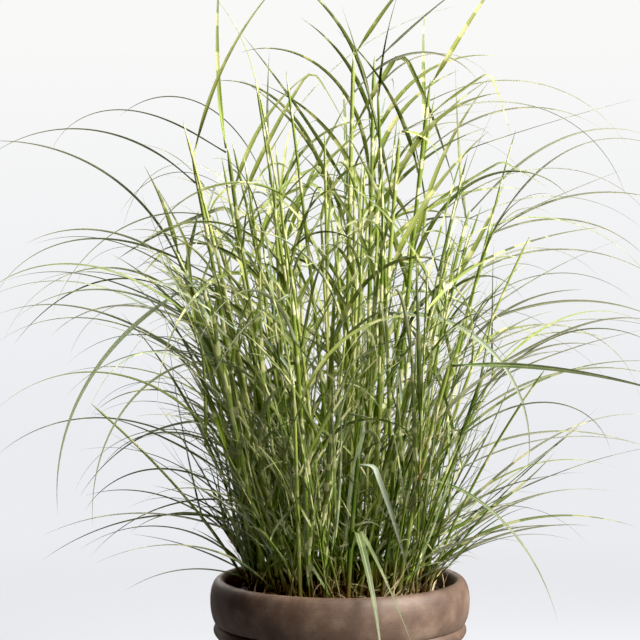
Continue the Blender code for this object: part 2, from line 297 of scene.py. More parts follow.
# %% [markdown]
# ## The pot
#
# A pot is a turned shape: one outline, spun round the upright axis. The outline below is the same
# as the solid's, only finer: an inner face, a fat rolled rim, a second thin ring and a belly that
# narrows to the foot.

# %% The pot's measures
POT_HEIGHT, ROLL_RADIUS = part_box("pot")[1].z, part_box("pot")[1].x
ROLL_HEIGHT, RING_HEIGHT = 0.068, 0.024
FOOT_RADIUS, SHOULDER_RADIUS = 0.126, 0.187
RING_RADIUS, GROOVE_RADIUS = 0.194, 0.1885
CREST_RADIUS, MOUTH_RADIUS, LIP_DEPTH = 0.184, 0.177, 0.012
ROLL_MIDDLE = 0.48          # how far down the roll is widest, as a share of its height
ROLL_UNDERCUT = math.radians(62)        # how far the roll turns back in to the groove under it
ROLL_FULLNESS = 0.85        # under 1 the roll is fuller than an ellipse
WALL, POT_FLOOR = 0.016, 0.022
FOOT_CHAMFER = 0.005
DRAIN_HOLES, DRAIN_RADIUS, DRAIN_RING = 3, 0.009, 0.062
POT_SEGMENTS = 160
RIM_WANDER = 0.5 * MILLIMETRE
WANDERS_PER_METRE, FLAT_FOOT = 14, 0.05     # the wander starts over the lowest five centimetres
RING_FOOT = POT_HEIGHT - ROLL_HEIGHT - RING_HEIGHT
GAP = 0.0003                # between a piece and what it stands on


def belly(height):
    """Outer radius of the pot's body at a height."""
    share = height / RING_FOOT
    return FOOT_RADIUS + (SHOULDER_RADIUS - FOOT_RADIUS) * math.sin(share * math.pi / 2)


def inside_face(steps=16):
    """The pot's inner face as (radius, height), from the floor to just under the crest."""
    heights = [POT_FLOOR + (RING_FOOT - POT_FLOOR) * step / steps for step in range(steps + 1)]
    face = [(belly(height) - WALL, height) for height in heights]
    lip = POT_HEIGHT - LIP_DEPTH
    face += [(MOUTH_RADIUS, RING_FOOT + (lip - RING_FOOT) * step / 5) for step in range(1, 6)]
    for step in range(1, 5):
        turn = math.pi / 2 * step / 5
        face.append((MOUTH_RADIUS + (CREST_RADIUS - MOUTH_RADIUS) * (1 - math.cos(turn)),
                     lip + LIP_DEPTH * math.sin(turn)))
    return face


def outside_face(steps=24):
    """The pot's outer face as (radius, height), from the rim's crest to the foot."""
    groove = POT_HEIGHT - ROLL_HEIGHT
    middle = POT_HEIGHT - ROLL_HEIGHT * ROLL_MIDDLE
    upper, lower = POT_HEIGHT - middle, (middle - groove) / math.sin(ROLL_UNDERCUT)
    face = []
    for step in range(steps + 1):
        angle = math.pi / 2 - (math.pi / 2 + ROLL_UNDERCUT) * step / steps
        radius = CREST_RADIUS + (ROLL_RADIUS - CREST_RADIUS) * math.cos(angle) ** ROLL_FULLNESS
        face.append((radius, middle + (upper if angle > 0 else lower) * math.sin(angle)))
    face.append((GROOVE_RADIUS, groove))
    for step in range(1, 11):
        share = step / 10
        base = GROOVE_RADIUS + (SHOULDER_RADIUS - GROOVE_RADIUS) * share
        bulge = (RING_RADIUS - SHOULDER_RADIUS) * math.sin(math.pi * share)
        face.append((base + bulge, groove - RING_HEIGHT * share))
    for step in range(1, steps + 1):
        height = RING_FOOT + (FOOT_CHAMFER - RING_FOOT) * step / steps
        face.append((belly(height), height))
    return face + [(FOOT_RADIUS - FOOT_CHAMFER, 0.0)]


print("The outline has", len(inside_face() + outside_face()), "points")

# %% [markdown]
# The spin could be a Screw modifier, but a hand-thrown rim is never quite round. So the rings are
# laid by a function that lets each point wander by half a millimetre. The three drain holes are
# bored last, with a Boolean. Each finished piece goes through one helper, which also tells the
# frame what the piece rides on and hides the solids that it stands for.

# %% Spin the pot and bore its drain holes
def turned(name, outline, segments, wander):
    """Spin an outline round the upright axis. wander gives each point's own small shift."""
    shape = bmesh.new()
    rings = []
    for radius, height in outline:
        ring = []
        for segment in range(segments):
            angle = math.tau * segment / segments
            spot = Vector((radius * math.cos(angle), radius * math.sin(angle), height))
            ring.append(shape.verts.new(spot + wander(spot)))
        rings.append(ring)
    for one, other in zip(rings, rings[1:]):
        for segment in range(segments):
            after = (segment + 1) % segments
            shape.faces.new((one[segment], one[after], other[after], other[segment]))
    shape.faces.new(list(reversed(rings[0])))
    shape.faces.new(rings[-1])
    bmesh.ops.recalc_face_normals(shape, faces=shape.faces)
    return as_mesh(name, shape)


def add_piece(name, mesh, material, replaced=()):
    """Put a mesh in the scene, let it ride on the pot, and hide the solids it stands for."""
    piece = put(name, mesh)
    mesh.materials.append(material)
    mesh.shade_smooth()
    mesh.set_sharp_from_angle(angle=math.radians(50))
    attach(piece, "root")
    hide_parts(*replaced)
    return piece


def hand_wander(spot):
    """The thrown wall's slight unevenness, which fades out at the foot so that it stands flat."""
    out = Vector((spot.x, spot.y, 0)).normalized()
    drift = noise.noise(Vector((spot.x, spot.y, spot.z * 0.7)) * WANDERS_PER_METRE)
    return out * (drift - 0.5) * RIM_WANDER * min(spot.z / FLAT_FOOT, 1.0)


pot = add_piece("thrown_pot", turned("thrown_pot", inside_face() + outside_face(), POT_SEGMENTS,
                                     hand_wander), CLAY_FINISH, ["pot"])
drills = []
for hole in range(DRAIN_HOLES):
    angle = math.tau * (hole + 0.5) / DRAIN_HOLES
    bpy.ops.mesh.primitive_cylinder_add(
        vertices=48, radius=DRAIN_RADIUS, depth=POT_FLOOR * 3,
        location=(DRAIN_RING * math.cos(angle), DRAIN_RING * math.sin(angle), POT_FLOOR / 2))
    drills.append(bpy.context.object)
    cut = pot.modifiers.new("drain", "BOOLEAN")
    cut.operation = "DIFFERENCE"
    cut.object = drills[-1]
bored = bpy.data.meshes.new_from_object(pot.evaluated_get(bpy.context.evaluated_depsgraph_get()))
pot.modifiers.clear()
pot.data = bored
for drill in drills:
    bpy.data.objects.remove(drill)
print("The pot has", len(bored.polygons), "faces")

# %% [markdown]
# ## The potting mix
#
# Bark-based mix is nearly black when moist, with paler crumbs, bits of bark and a little moss. It
# was only poured in and watered, so it has no sheen at all. Three sizes of noise give its crumbs,
# its dry patches and its moss. The larger lumps are left to the mesh, where they cast shadows.

# %% The mix's colours
MIX = palette(wet="#15100c", damp="#2a1f17", dry="#4b3a2b", moss="#4c5a2a")
CRUMB_SIZE = 3.2 * MILLIMETRE
BARK_SIZE = 1000 / 45 * MILLIMETRE      # the patches that dry out first
MOSS_SIZE = 1000 / 17 * MILLIMETRE


def potting_mix():
    """Moist bark mix: rough, dark, with drier crumbs and a trace of moss."""
    material, add = new_material("moist bark mix")
    place = add("TexCoord", out="Object")
    crumbs = add("TexVoronoi", {"Vector": place, "Scale": 1 / CRUMB_SIZE})
    damp = add("TexNoise", {"Vector": place, "Scale": 1 / BARK_SIZE, "Detail": 8.0,
                            "Roughness": 0.7})
    earth = add("ValToRGB", {0: damp},
                stops=[(0.3, MIX["wet"]), (0.75, MIX["dry"]), (0.52, MIX["damp"])])
    patch = add("TexNoise", {"Vector": place, "Scale": 1 / MOSS_SIZE, "Detail": 4.0})
    mossy = add("ValToRGB", {0: patch}, stops=[(0.58, BLACK), (0.68, WHITE)])
    colour = add("Mix", {0: mossy, 6: earth, 7: MIX["moss"]}, **OF_COLOURS)
    rises = add("Math", {0: crumbs, 1: damp}, operation="ADD")
    bump = add("Bump", {"Height": rises, "Strength": 0.8, "Distance": 1.5 * MILLIMETRE})
    skin = add("BsdfPrincipled", {"Base Color": colour, "Roughness": 0.93, "IOR": 1.45,
                                  "Normal": bump})
    add("OutputMaterial", {0: skin})
    return material


MIX_FINISH = potting_mix()
print("The mix's finish:", MIX_FINISH.name)

# %% [markdown]
# The top of the mix is a turned disc pushed up and down by noise. Loose crumbs lie on it as small
# dented balls. They are joined in one mesh, which is lighter than four hundred objects.

# %% The mix, its lumps and its crumbs
MIX_TOP = 0.336
MIX_EDGE_DROP = 0.006       # how much lower it lies at the pot's wall
MIX_LUMP = 5 * MILLIMETRE
LUMPS_PER_METRE, GRAINS_PER_METRE = 38, 190
MIX_CRUMBS = 420
CRUMBS_REACH = 0.172        # how far out the crumbs lie
DIPS_AT, DIPS_BY = 0.16, 0.004      # further out than this they lie lower


def mix_outline():
    """The mix as (radius, height): up the pot's inner wall, over the edge and in to the middle."""
    edge = MIX_TOP - MIX_EDGE_DROP
    wall = [(radius - GAP, height + GAP) for radius, height in inside_face(6) if height < edge]
    top = [(wall[-1][0] * (1 - share), edge + MIX_EDGE_DROP * min(share * 7, 1.0))
           for share in np.linspace(0, 0.985, 46)]
    return wall + top


def lumps(spot):
    """Lift the top of the mix in lumps that fade out down the pot's wall."""
    if spot.z < MIX_TOP - MIX_EDGE_DROP - MILLIMETRE:
        return Vector((0, 0, 0))
    coarse = noise.fractal(spot * LUMPS_PER_METRE, 0.8, 2.1, 4)
    fine = noise.noise(spot * GRAINS_PER_METRE)
    return Vector((0, 0, MIX_LUMP * (0.45 * coarse + 0.3 * fine)))


mix = add_piece("potting_mix", turned("potting_mix", mix_outline(), 120, lumps), MIX_FINISH,
                ["soil"])
draws = np.random.default_rng(11)
shape = bmesh.new()
for crumb in range(MIX_CRUMBS):
    before = len(shape.verts)
    bmesh.ops.create_icosphere(shape, subdivisions=1, radius=1.0)
    shape.verts.ensure_lookup_table()
    turn, out = draws.uniform(0, math.tau), CRUMBS_REACH * math.sqrt(draws.uniform())
    size = CRUMB_SIZE * draws.uniform(0.35, 1.25) * np.array([1, draws.uniform(0.5, 1.0), 0.55])
    spin = draws.uniform(0, math.tau)
    height = MIX_TOP - (DIPS_BY if out > DIPS_AT else 0.0) + size[2] * 0.5
    for vert in shape.verts[before:]:
        rough = vert.co * (1 + 0.35 * noise.noise(vert.co * 1.7 + Vector((crumb, 0, 0))))
        x, y, z = rough.x * size[0], rough.y * size[1], rough.z * size[2]
        vert.co = (out * math.cos(turn) + x * math.cos(spin) - y * math.sin(spin),
                   out * math.sin(turn) + x * math.sin(spin) + y * math.cos(spin), height + z)
add_piece("mix_crumbs", as_mesh("mix_crumbs", shape), MIX_FINISH)
print("The mix has", len(mix.data.polygons), "faces and", MIX_CRUMBS, "loose crumbs")

# %% [markdown]
# ## Leaf tissue
#
# A banded grass blade is one thin leaf that grew a waxy skin, and the wax gives the eye a soft,
# broad sheen with no clear reflections in it. What tells it from any other grass are the pale
# bands that cross it every few centimetres, where the leaf made no green. They run right across,
# but their ends are ragged, because the veins carry the green a little further. The blade also has
# a pale midrib and pale edges. All of these follow the blade and not the room, so each blade
# carries its own measures in its mesh: how far across a point is, how many millimetres from the
# collar, and how far along as a share.
#
# The bands could be painted on a picture, but then all blades would show the same ones. Noise that
# runs along the blade, and starts somewhere else on each, gives every blade its own.
#
# No two blades are the same green. One number, the blade's tone, picks a place on a ramp of
# greens: the lowest tones are old blades that have gone greyish, in a darker grey painted for
# those that head towards the window and a paler one painted for those in shade. Then come blades
# with a bloom of wax, with a paler waxy green painted as light on those that stand in shade, and
# the rest runs from deep to fresh green.

# %% The blade's colours and bands
GREEN = palette(waxy="#8a9c86", deep="#2f4c04", leaf="#728b1a", fresh="#b1b866", band="#f4f2bc",
                rib="#c2ca84", under="#6d8433", tip="#b39a5a", dull="#b0b3a0", grey="#6a6e5c",
                bloom="#c6d2c4", pale="#b6b89c")
# Old blades are greyish: the grey tone is painted darker for those that head towards the window,
# and the dull tone paler for those in shade, as painted light.
GREY_DARKENED_IN_LIGHT_TONE, GREY_PALER_FOR_SHADE_TONE = 0.0, 0.04            # greyish old blades
# The second wax tone is a paler waxy green, painted as light on waxy blades that stand in shade.
WAXY_TONE, WAX_PALER_FOR_SHADE_TONE = 0.08, 0.105         # blades with a thin or a thick bloom of wax
DEEP_TONE, LEAF_TONE, FRESH_TONE = 0.13, 0.55, 1.0
BAND_SPACING = 36.0         # millimetres from one pale band to the next, on average
VEINS_ACROSS = 9.0          # a real blade has forty: drawn as coarse as they need to show
VEIN_LENGTH = 50.0          # millimetres along which a vein keeps its shade
RAGGED = 5.0                # millimetres by which the veins fray the ends of a band
SEED_STEP = 911.0           # sets the noise of one blade far away from the next one's


def blade_measures(add):
    """The measures that each blade carries: place across and along it, and its own look."""
    place = add("Attribute", attribute_name="place", out="Vector")
    look = add("Attribute", attribute_name="look", out="Vector")
    across, along, share = add("SeparateXYZ", {0: place}, out=slice(0, 3))
    seed, tone, banding = add("SeparateXYZ", {0: look}, out=slice(0, 3))
    return across, along, share, seed, tone, banding


def pale_bands(add, across, along, seed, banding):
    """How pale a point is: bands across the blade, frayed along its veins."""
    own = add("Math", {0: seed, 1: SEED_STEP}, operation="MULTIPLY")
    vein = add("Math", {0: across, 1: VEINS_ACROSS, 2: own}, operation="MULTIPLY_ADD")
    slow = add("Math", {0: along, 1: 1 / VEIN_LENGTH}, operation="MULTIPLY")
    strand = add("CombineXYZ", {0: vein, 1: slow})
    fray = add("TexNoise", {"Vector": strand, "Scale": 1.0, "Detail": 1.0}, noise_dimensions="2D")
    frayed = add("Math", {0: fray, 1: RAGGED, 2: along}, operation="MULTIPLY_ADD")
    step = add("Math", {0: frayed, 1: 1 / BAND_SPACING, 2: own}, operation="MULTIPLY_ADD")
    wave = add("TexNoise", {"W": step, "Scale": 1.0, "Detail": 0.6}, noise_dimensions="1D")
    bands = add("ValToRGB", {0: wave}, stops=[(0.545, BLACK), (0.585, WHITE)])
    return add("Math", {0: bands, 1: banding}, operation="MULTIPLY"), fray


print("Tones: greyish up to", GREY_PALER_FOR_SHADE_TONE, "/ waxy up to", WAX_PALER_FOR_SHADE_TONE, "/ green from", DEEP_TONE)

# %% [markdown]
# A thin leaf lets light through, so a part of its shading is the light that falls on its other
# side. That part grows towards the tip, where the blade is thinnest. The underside is a duller
# green, the outer half bleaches in the sun, and the last few centimetres dry out.

# %% The waxy banded leaf
RIB_PALE, EDGE_PALE = 0.55, 0.4     # how much of the rib's colour the midrib and the edges take
UNDER_DULL = 0.55           # how much of the underside's colour the back of the blade takes
BLEACHED = 0.42             # how far the sun bleaches the outer end
DRIES_FROM, DRIES_LATER = 0.80, 0.22    # share of the blade where a dry tip starts, and its spread
DRY_MOST = 0.8
THROUGH = {"To Min": 0.12, "To Max": 0.46}      # light from behind, at the collar and at the tip


def leaf_blade():
    """A waxy banded grass blade with a pale midrib, pale edges and a dull underside."""
    material, add = new_material("waxy banded leaf")
    across, along, share, seed, tone, banding = blade_measures(add)
    bands, fray = pale_bands(add, across, along, seed, banding)
    green = add("ValToRGB", {0: tone},
                stops=[(GREY_DARKENED_IN_LIGHT_TONE, GREEN["grey"]), (FRESH_TONE, GREEN["fresh"]),
                       (GREY_PALER_FOR_SHADE_TONE, GREEN["dull"]), (WAXY_TONE, GREEN["waxy"]),
                       (WAX_PALER_FOR_SHADE_TONE, GREEN["bloom"]), (DEEP_TONE, GREEN["deep"]),
                       (LEAF_TONE, GREEN["leaf"])])
    striped = add("Mix", {0: 0.25, 6: green, 7: fray}, blend_type="OVERLAY", **OF_COLOURS)
    face = add("Attribute", attribute_name="face", out="Fac")
    flipped = add("MapRange", {"Value": face, "From Min": 0.25, "From Max": -0.25,
                               "To Max": UNDER_DULL})
    sided = add("Mix", {0: flipped, 6: striped, 7: GREEN["under"]}, **OF_COLOURS)
    off_rib = add("Math", {0: across}, operation="ABSOLUTE")
    rib = add("ValToRGB", {0: off_rib},
              stops=[(0.05, (RIB_PALE, RIB_PALE, RIB_PALE, 1)),
                     (1.0, (EDGE_PALE, EDGE_PALE, EDGE_PALE, 1)), (0.14, BLACK), (0.84, BLACK)])
    ribbed = add("Mix", {0: rib, 6: sided, 7: GREEN["rib"]}, **OF_COLOURS)
    outward = add("MapRange", {"Value": share, "From Min": 0.15, "From Max": 0.9,
                               "To Max": BLEACHED})
    bleached = add("Mix", {0: outward, 6: ribbed, 7: GREEN["pale"]}, **OF_COLOURS)
    banded = add("Mix", {0: bands, 6: bleached, 7: GREEN["band"]}, **OF_COLOURS)
    dying = add("Math", {0: seed, 1: DRIES_LATER, 2: DRIES_FROM}, operation="MULTIPLY_ADD")
    dry = add("MapRange", {"Value": share, "From Min": dying, "From Max": 1.02,
                           "To Max": DRY_MOST})
    colour = add("Mix", {0: dry, 6: banded, 7: GREEN["tip"]}, **OF_COLOURS)
    bump = add("Bump", {"Height": fray, "Strength": 0.3, "Distance": 0.2 * MILLIMETRE})
    skin = add("BsdfPrincipled", {"Base Color": colour, "Roughness": 0.38, "IOR": 1.38,
                                  "Normal": bump})
    juicy = add("Gamma", {"Color": colour, "Gamma": 1.2})
    through = add("BsdfTranslucent", {"Color": juicy, "Normal": bump})
    thin = add("MapRange", {"Value": share, "From Min": 0.1, "From Max": 0.7, **THROUGH})
    add("OutputMaterial", {0: add("MixShader", {0: thin, 1: skin, 2: through})})
    return material


BLADE_FINISH = leaf_blade()
print("The blades' finish:", BLADE_FINISH.name)

# %% [markdown]
# The stem of a grass hardly shows: what one sees is the leaf sheaths rolled round it, one inside
# the next. They are paler and yellower than the blades, more strongly banded the higher up they
# sit, and red-brown at the foot. Their ribs run lengthwise and break the sheen up in fine lines.
# Last year's leaves are dead straw: papery, with neither bands nor wax, so they look matt.

# %% The sheath and the straw
SHEATH = palette(green="#71862e", pale="#a6ae62", band="#f0edbd", foot="#5f3f26")
STRAW = palette(pale="#bdb08c", brown="#7f6444")
BLOTCH_SIZE = 1 / 0.09      # eleven millimetres along the straw


def stem_sheath():
    """Rolled leaf sheaths: ribbed, banded, red-brown at the foot."""
    material, add = new_material("rolled leaf sheath")
    across, along, _, seed, tone, banding = blade_measures(add)
    climb = add("MapRange", {"Value": along, "From Min": 80.0, "From Max": 420.0,
                             "To Min": 0.12, "To Max": 0.6})
    upper = add("Math", {0: banding, 1: climb}, operation="MULTIPLY")
    bands, fray = pale_bands(add, across, along, seed, upper)
    green = add("ValToRGB", {0: tone},
                stops=[(0.0, GREEN["deep"]), (1.0, SHEATH["pale"]), (0.5, SHEATH["green"])])
    striped = add("Mix", {0: 0.3, 6: green, 7: fray}, blend_type="OVERLAY", **OF_COLOURS)
    banded = add("Mix", {0: bands, 6: striped, 7: SHEATH["band"]}, **OF_COLOURS)
    foot = add("MapRange", {"Value": along, "From Min": 70.0, "From Max": 10.0, "To Max": 0.85})
    colour = add("Mix", {0: foot, 6: banded, 7: SHEATH["foot"]}, **OF_COLOURS)
    bump = add("Bump", {"Height": fray, "Strength": 0.5, "Distance": 0.25 * MILLIMETRE})
    skin = add("BsdfPrincipled", {"Base Color": colour, "Roughness": 0.45, "IOR": 1.42,
                                  "Normal": bump})
    add("OutputMaterial", {0: skin})
    return material


def dry_straw():
    """Last year's dead leaves: papery, beige to brown."""
    material, add = new_material("dead papery straw")
    across, along, _, seed, tone, _ = blade_measures(add)
    place = add("CombineXYZ", {0: across, 1: along, 2: seed})
    blotch = add("TexNoise", {"Vector": place, "Scale": 1 / BLOTCH_SIZE, "Detail": 5.0})
    blend = add("Math", {0: blotch, 1: tone}, operation="MULTIPLY")
    colour = add("ValToRGB", {0: blend}, stops=[(0.15, STRAW["pale"]), (0.6, STRAW["brown"])])
    bump = add("Bump", {"Height": blotch, "Strength": 0.4, "Distance": 0.3 * MILLIMETRE})
    skin = add("BsdfPrincipled", {"Base Color": colour, "Roughness": 0.8, "IOR": 1.4,
                                  "Normal": bump})
    add("OutputMaterial", {0: skin})
    return material


SHEATH_FINISH, STRAW_FINISH = stem_sheath(), dry_straw()
print("The finish of the stems and the straw:", SHEATH_FINISH.name, "/", STRAW_FINISH.name)

# %% [markdown]
# ## The shape of a blade
#
# A blade could be a flat strip, but a real one is a shallow channel: it folds at the midrib, which
# stands out as a ridge below, and it thins to nothing at both edges. Six corners to a ring are
# enough for that. The rings follow a path that starts at the collar, leans over more and more, and
# twists as it goes.

# %% Cross-section, width and path
# The six corners go round anticlockwise as seen from the tip, from one edge back to it.
CORNER_ACROSS = np.array([1.0, 0.5, 0.0, -0.5, -1.0, 0.0])
CORNER_RAISED = np.array([0.0, 0.22, -0.06, 0.22, 0.0, -0.6])
CORNER_FACE = np.array([0.0, 1.0, 1.0, 1.0, 0.0, -1.0])
BLADE_THICKNESS = 1.1 * MILLIMETRE
BLADE_KEEL = 0.24           # lift of the edges over the midrib, as a share of the half width
COLLAR_FOLD = 1.1           # how much more the blade is folded where it leaves the sheath
COLLAR_LENGTH = 0.035       # share of the blade along which that fold opens
BLADE_STEPS = 32
BASE_WIDTH, WIDEST_AT, TAPER = 0.62, 0.25, 1.6
ROLLED_BY = 0.3             # how far along the blade its roll is complete
CREASE_SPAN, CREASE_SHARE = 0.08, 0.85      # length of a crease, and its part of the whole bend


def blade_path(start, heading, rise, droop, length, bend, crease, drift, roll, twist,
               steps=BLADE_STEPS):
    """Centre, across and up along a blade that leans from rise to droop degrees off upright."""
    share = np.linspace(0, 1, steps + 1)
    middle = share + 0.5 / steps
    turned_over = middle ** bend
    if crease:
        folded = np.clip((middle - crease) / CREASE_SPAN + 0.5, 0, 1)
        turned_over = (1 - CREASE_SHARE) * turned_over + CREASE_SHARE * folded
    tilt = np.radians(rise + (droop - rise) * turned_over)
    turn = heading + drift * share
    ahead = np.stack([np.cos(turn) * np.sin(tilt), np.sin(turn) * np.sin(tilt),
                      np.cos(tilt)], 1)
    centre = np.array(start) + np.vstack([np.zeros(3), np.cumsum(ahead[:-1], 0)]) * length / steps
    level = np.stack([-np.sin(turn), np.cos(turn), np.zeros_like(turn)], 1)
    rolled = np.sin(np.minimum(share / ROLLED_BY, 1) * math.pi / 2)
    spin = (twist * share + roll * rolled)[:, None]
    across = level * np.cos(spin) + np.cross(ahead, level) * np.sin(spin)
    return centre, across, np.cross(ahead, across), share


def blade_tube(path, width, length, look, taper=TAPER):
    """The rings of a blade round its path, with the measures that its finish reads."""
    centre, across, up, share = path
    opened = np.sin(np.minimum(share / WIDEST_AT, 1) * math.pi / 2)
    half = width / 2 * (BASE_WIDTH + (1 - BASE_WIDTH) * opened) * (1 - share ** taper)
    thick = BLADE_THICKNESS * np.sqrt(np.clip(2 * half / width, 0, 1)) * min(1, width / 0.006)
    keel = BLADE_KEEL + COLLAR_FOLD * np.exp(-share / COLLAR_LENGTH)
    rings = (centre[:, None] + across[:, None] * (half[:, None] * CORNER_ACROSS)[..., None]
             + up[:, None] * (keel[:, None] * half[:, None] * np.abs(CORNER_ACROSS) ** 1.3
                              + thick[:, None] * CORNER_RAISED)[..., None])
    return {"rings": rings[:-1], "tip": centre[-1], "across": CORNER_ACROSS, "face": CORNER_FACE,
            "along": share * length / MILLIMETRE, "share": share, "look": look}


print("A blade has", BLADE_STEPS, "rings of", len(CORNER_ACROSS), "corners")

# %% [markdown]
# A baked picture of a mesh needs a flat map of its surface. Unwrapping would cut thousands of thin
# blades in pieces, so each blade is given one upright strip of the map instead: its wall rolled
# out flat, with its ends as two small discs at the foot of the strip.

# %% A strip of the flat map
def map_strip(number, columns, rows):
    """Two functions that find points on a tube's strip of the map: of its wall and of its ends."""
    left, low = (number % columns) / columns, (number // columns) / rows
    wide, tall = 0.94 / columns, 0.96 / rows

    def wall(side, up):
        return left + wide * side, low + tall * (0.04 + 0.96 * up)

    def end(middle, turn):
        return (left + wide * (middle + 0.2 * math.cos(turn)),
                low + tall * (0.018 + 0.014 * math.sin(turn)))

    return wall, end


print("The first strip of four starts at", map_strip(0, 4, 1)[0](0, 0))

# %% [markdown]
# Hundreds of blades as separate objects would be slow to handle, so blades that belong together
# are joined in one mesh. The measures that the finish reads are stored on the mesh's points.

# %% Join many blades in one mesh
MAP_ROWS = 3                # rows of strips on the flat map of a big bunch


def join_tubes(name, tubes):
    """One mesh from many closed tubes, with their measures and a strip of map for each."""
    points, faces, corners, place, look, face_side = [], [], [], [], [], []
    rows = MAP_ROWS if len(tubes) > MAP_ROWS * 4 else 1
    columns = math.ceil(len(tubes) / rows)
    first = 0
    for number, tube in enumerate(tubes):
        wall, end = map_strip(number, columns, rows)
        rings, along, share = tube["rings"], tube["along"], tube["share"]
        count, sides = rings.shape[:2]
        pointed = "tip" in tube
        points.append(rings.reshape(-1, 3))
        place.append(np.stack([np.tile(tube["across"], count), np.repeat(along[:count], sides),
                               np.repeat(share[:count], sides)], 1))
        face_side.append(np.tile(tube["face"], count))
        if pointed:
            points.append(tube["tip"][None])
            place.append(np.array([[0.0, along[-1], 1.0]]))
            face_side.append(np.zeros(1))
        total = count * sides + pointed
        look.append(np.tile(tube["look"], (total, 1)))
        for ring in range(count - 1):
            start = first + ring * sides
            here, there = ring / count, (ring + 1) / count
            for side in range(sides):
                after = (side + 1) % sides
                faces.append((start + side, start + after, start + sides + after,
                              start + sides + side))
                corners += [wall(side / sides, here), wall((side + 1) / sides, here),
                            wall((side + 1) / sides, there), wall(side / sides, there)]
        faces.append(tuple(first + side for side in reversed(range(sides))))
        corners += [end(0.25, math.tau * side / sides) for side in reversed(range(sides))]
        last, edge = first + (count - 1) * sides, (count - 1) / count
        if pointed:
            for side in range(sides):
                faces.append((last + side, last + (side + 1) % sides, first + count * sides))
                corners += [wall(side / sides, edge), wall((side + 1) / sides, edge),
                            wall((side + 0.5) / sides, 1.0)]
        else:
            faces.append(tuple(last + side for side in range(sides)))
            corners += [end(0.75, math.tau * side / sides) for side in range(sides)]
        first += total
    mesh = bpy.data.meshes.new(name)
    mesh.from_pydata(np.concatenate(points), [], faces)
    mesh.uv_layers.new(name="OFBake").data.foreach_set("uv", np.array(corners).ravel())
    for title, kind, values, field in (("place", "FLOAT_VECTOR", place, "vector"),
                                       ("look", "FLOAT_VECTOR", look, "vector"),
                                       ("face", "FLOAT", face_side, "value")):
        made = mesh.attributes.new(title, kind, "POINT")
        made.data.foreach_set(field, np.concatenate(values).astype(np.float32).ravel())
    return mesh


print("Bunches of more than", 4 * MAP_ROWS, "tubes are mapped in", MAP_ROWS, "rows")

# %% [markdown]
# ## The shape of a stem
#
# A stem leaves the mix nearly upright and leans more as it rises. Each sheath on it ends in a
# collar a hair wider than the sheath inside, and that step is what the eye reads as a joint. A
# curve with a round bevel would give the bend, but not the steps, so the rings are laid one by one
# here too.

# %% Stem path and sheaths
STEM_SIDES, STEM_STEPS = 10, 40
STEM_UPRIGHT = 0.32         # share of its lean that the curve's handle has, at half height
STEM_FOOT_RADIUS, STEM_TOP_RADIUS = 0.0042, 0.0026
SHEATH_STEP = 0.45 * MILLIMETRE
STEP_LENGTH, SHEATH_LENGTH, SHEATH_FADE = 0.006, 0.16, 0.2      # as shares of the stem


def stem_point(foot, top, share):
    """Centre line of a stem at a share of its height."""
    foot = np.array([*foot, MIX_TOP + GAP])
    top = np.array(top)
    knee = (foot + top) / 2
    knee[:2] = foot[:2] + (top[:2] - foot[:2]) * STEM_UPRIGHT
    share = np.asarray(share)[..., None]
    return (1 - share) ** 2 * foot + 2 * share * (1 - share) * knee + share ** 2 * top


def stem_heading(foot, top, share):
    """Unit vector along the stem's centre line."""
    ahead = stem_point(foot, top, share + 0.01) - stem_point(foot, top, share - 0.01)
    return ahead / np.linalg.norm(ahead, axis=-1, keepdims=True)


def stem_radius(share):
    """The sheaths make the stem thickest at its foot."""
    return STEM_FOOT_RADIUS + (STEM_TOP_RADIUS - STEM_FOOT_RADIUS) * share


def stem_tube(foot, top, collars, look, thickness=1.0):
    """The rings of a stem, with a small step outwards below each collar."""
    share = np.linspace(0, 1, STEM_STEPS)
    share = np.unique([*share, *collars, *[collar + STEP_LENGTH for collar in collars]])
    share = share[(share >= 0) & (share <= 1)]
    centre = stem_point(foot, top, share)
    ahead = stem_heading(foot, top, share)
    side = np.cross(ahead, [0.0, 1.0, 0.0])
    side /= np.linalg.norm(side, axis=1, keepdims=True)
    other = np.cross(ahead, side)
    step = np.zeros_like(share)
    for collar in collars:
        below = (share <= collar + 0.001) & (share > collar - SHEATH_LENGTH)
        step = np.maximum(step, below * (1 - (collar - share) / SHEATH_FADE))
    radius = stem_radius(share) * thickness + SHEATH_STEP * step
    radius *= np.clip((1.004 - share) / 0.05, 0.1, 1)       # the last twentieth tapers off
    angle = math.tau * np.arange(STEM_SIDES) / STEM_SIDES
    rings = (centre[:, None] + radius[:, None, None]
             * (side[:, None] * np.cos(angle)[None, :, None]
                + other[:, None] * np.sin(angle)[None, :, None]))
    length = np.linalg.norm(np.array(top) - centre[0])
    return {"rings": rings, "across": np.cos(angle), "face": np.ones(STEM_SIDES),
            "along": share * length / MILLIMETRE, "share": share, "look": look}


print("A stem is", round(2 * stem_radius(0) / MILLIMETRE, 1), "mm thick at its foot")

# %% [markdown]
# ## The stems and leaves of the frame
#
# These are the stems and leaves that the solids hold, with the same places and the same bends.
# They are the ones that the eye picks out, so they were placed one by one: a stem by its foot and
# its top.

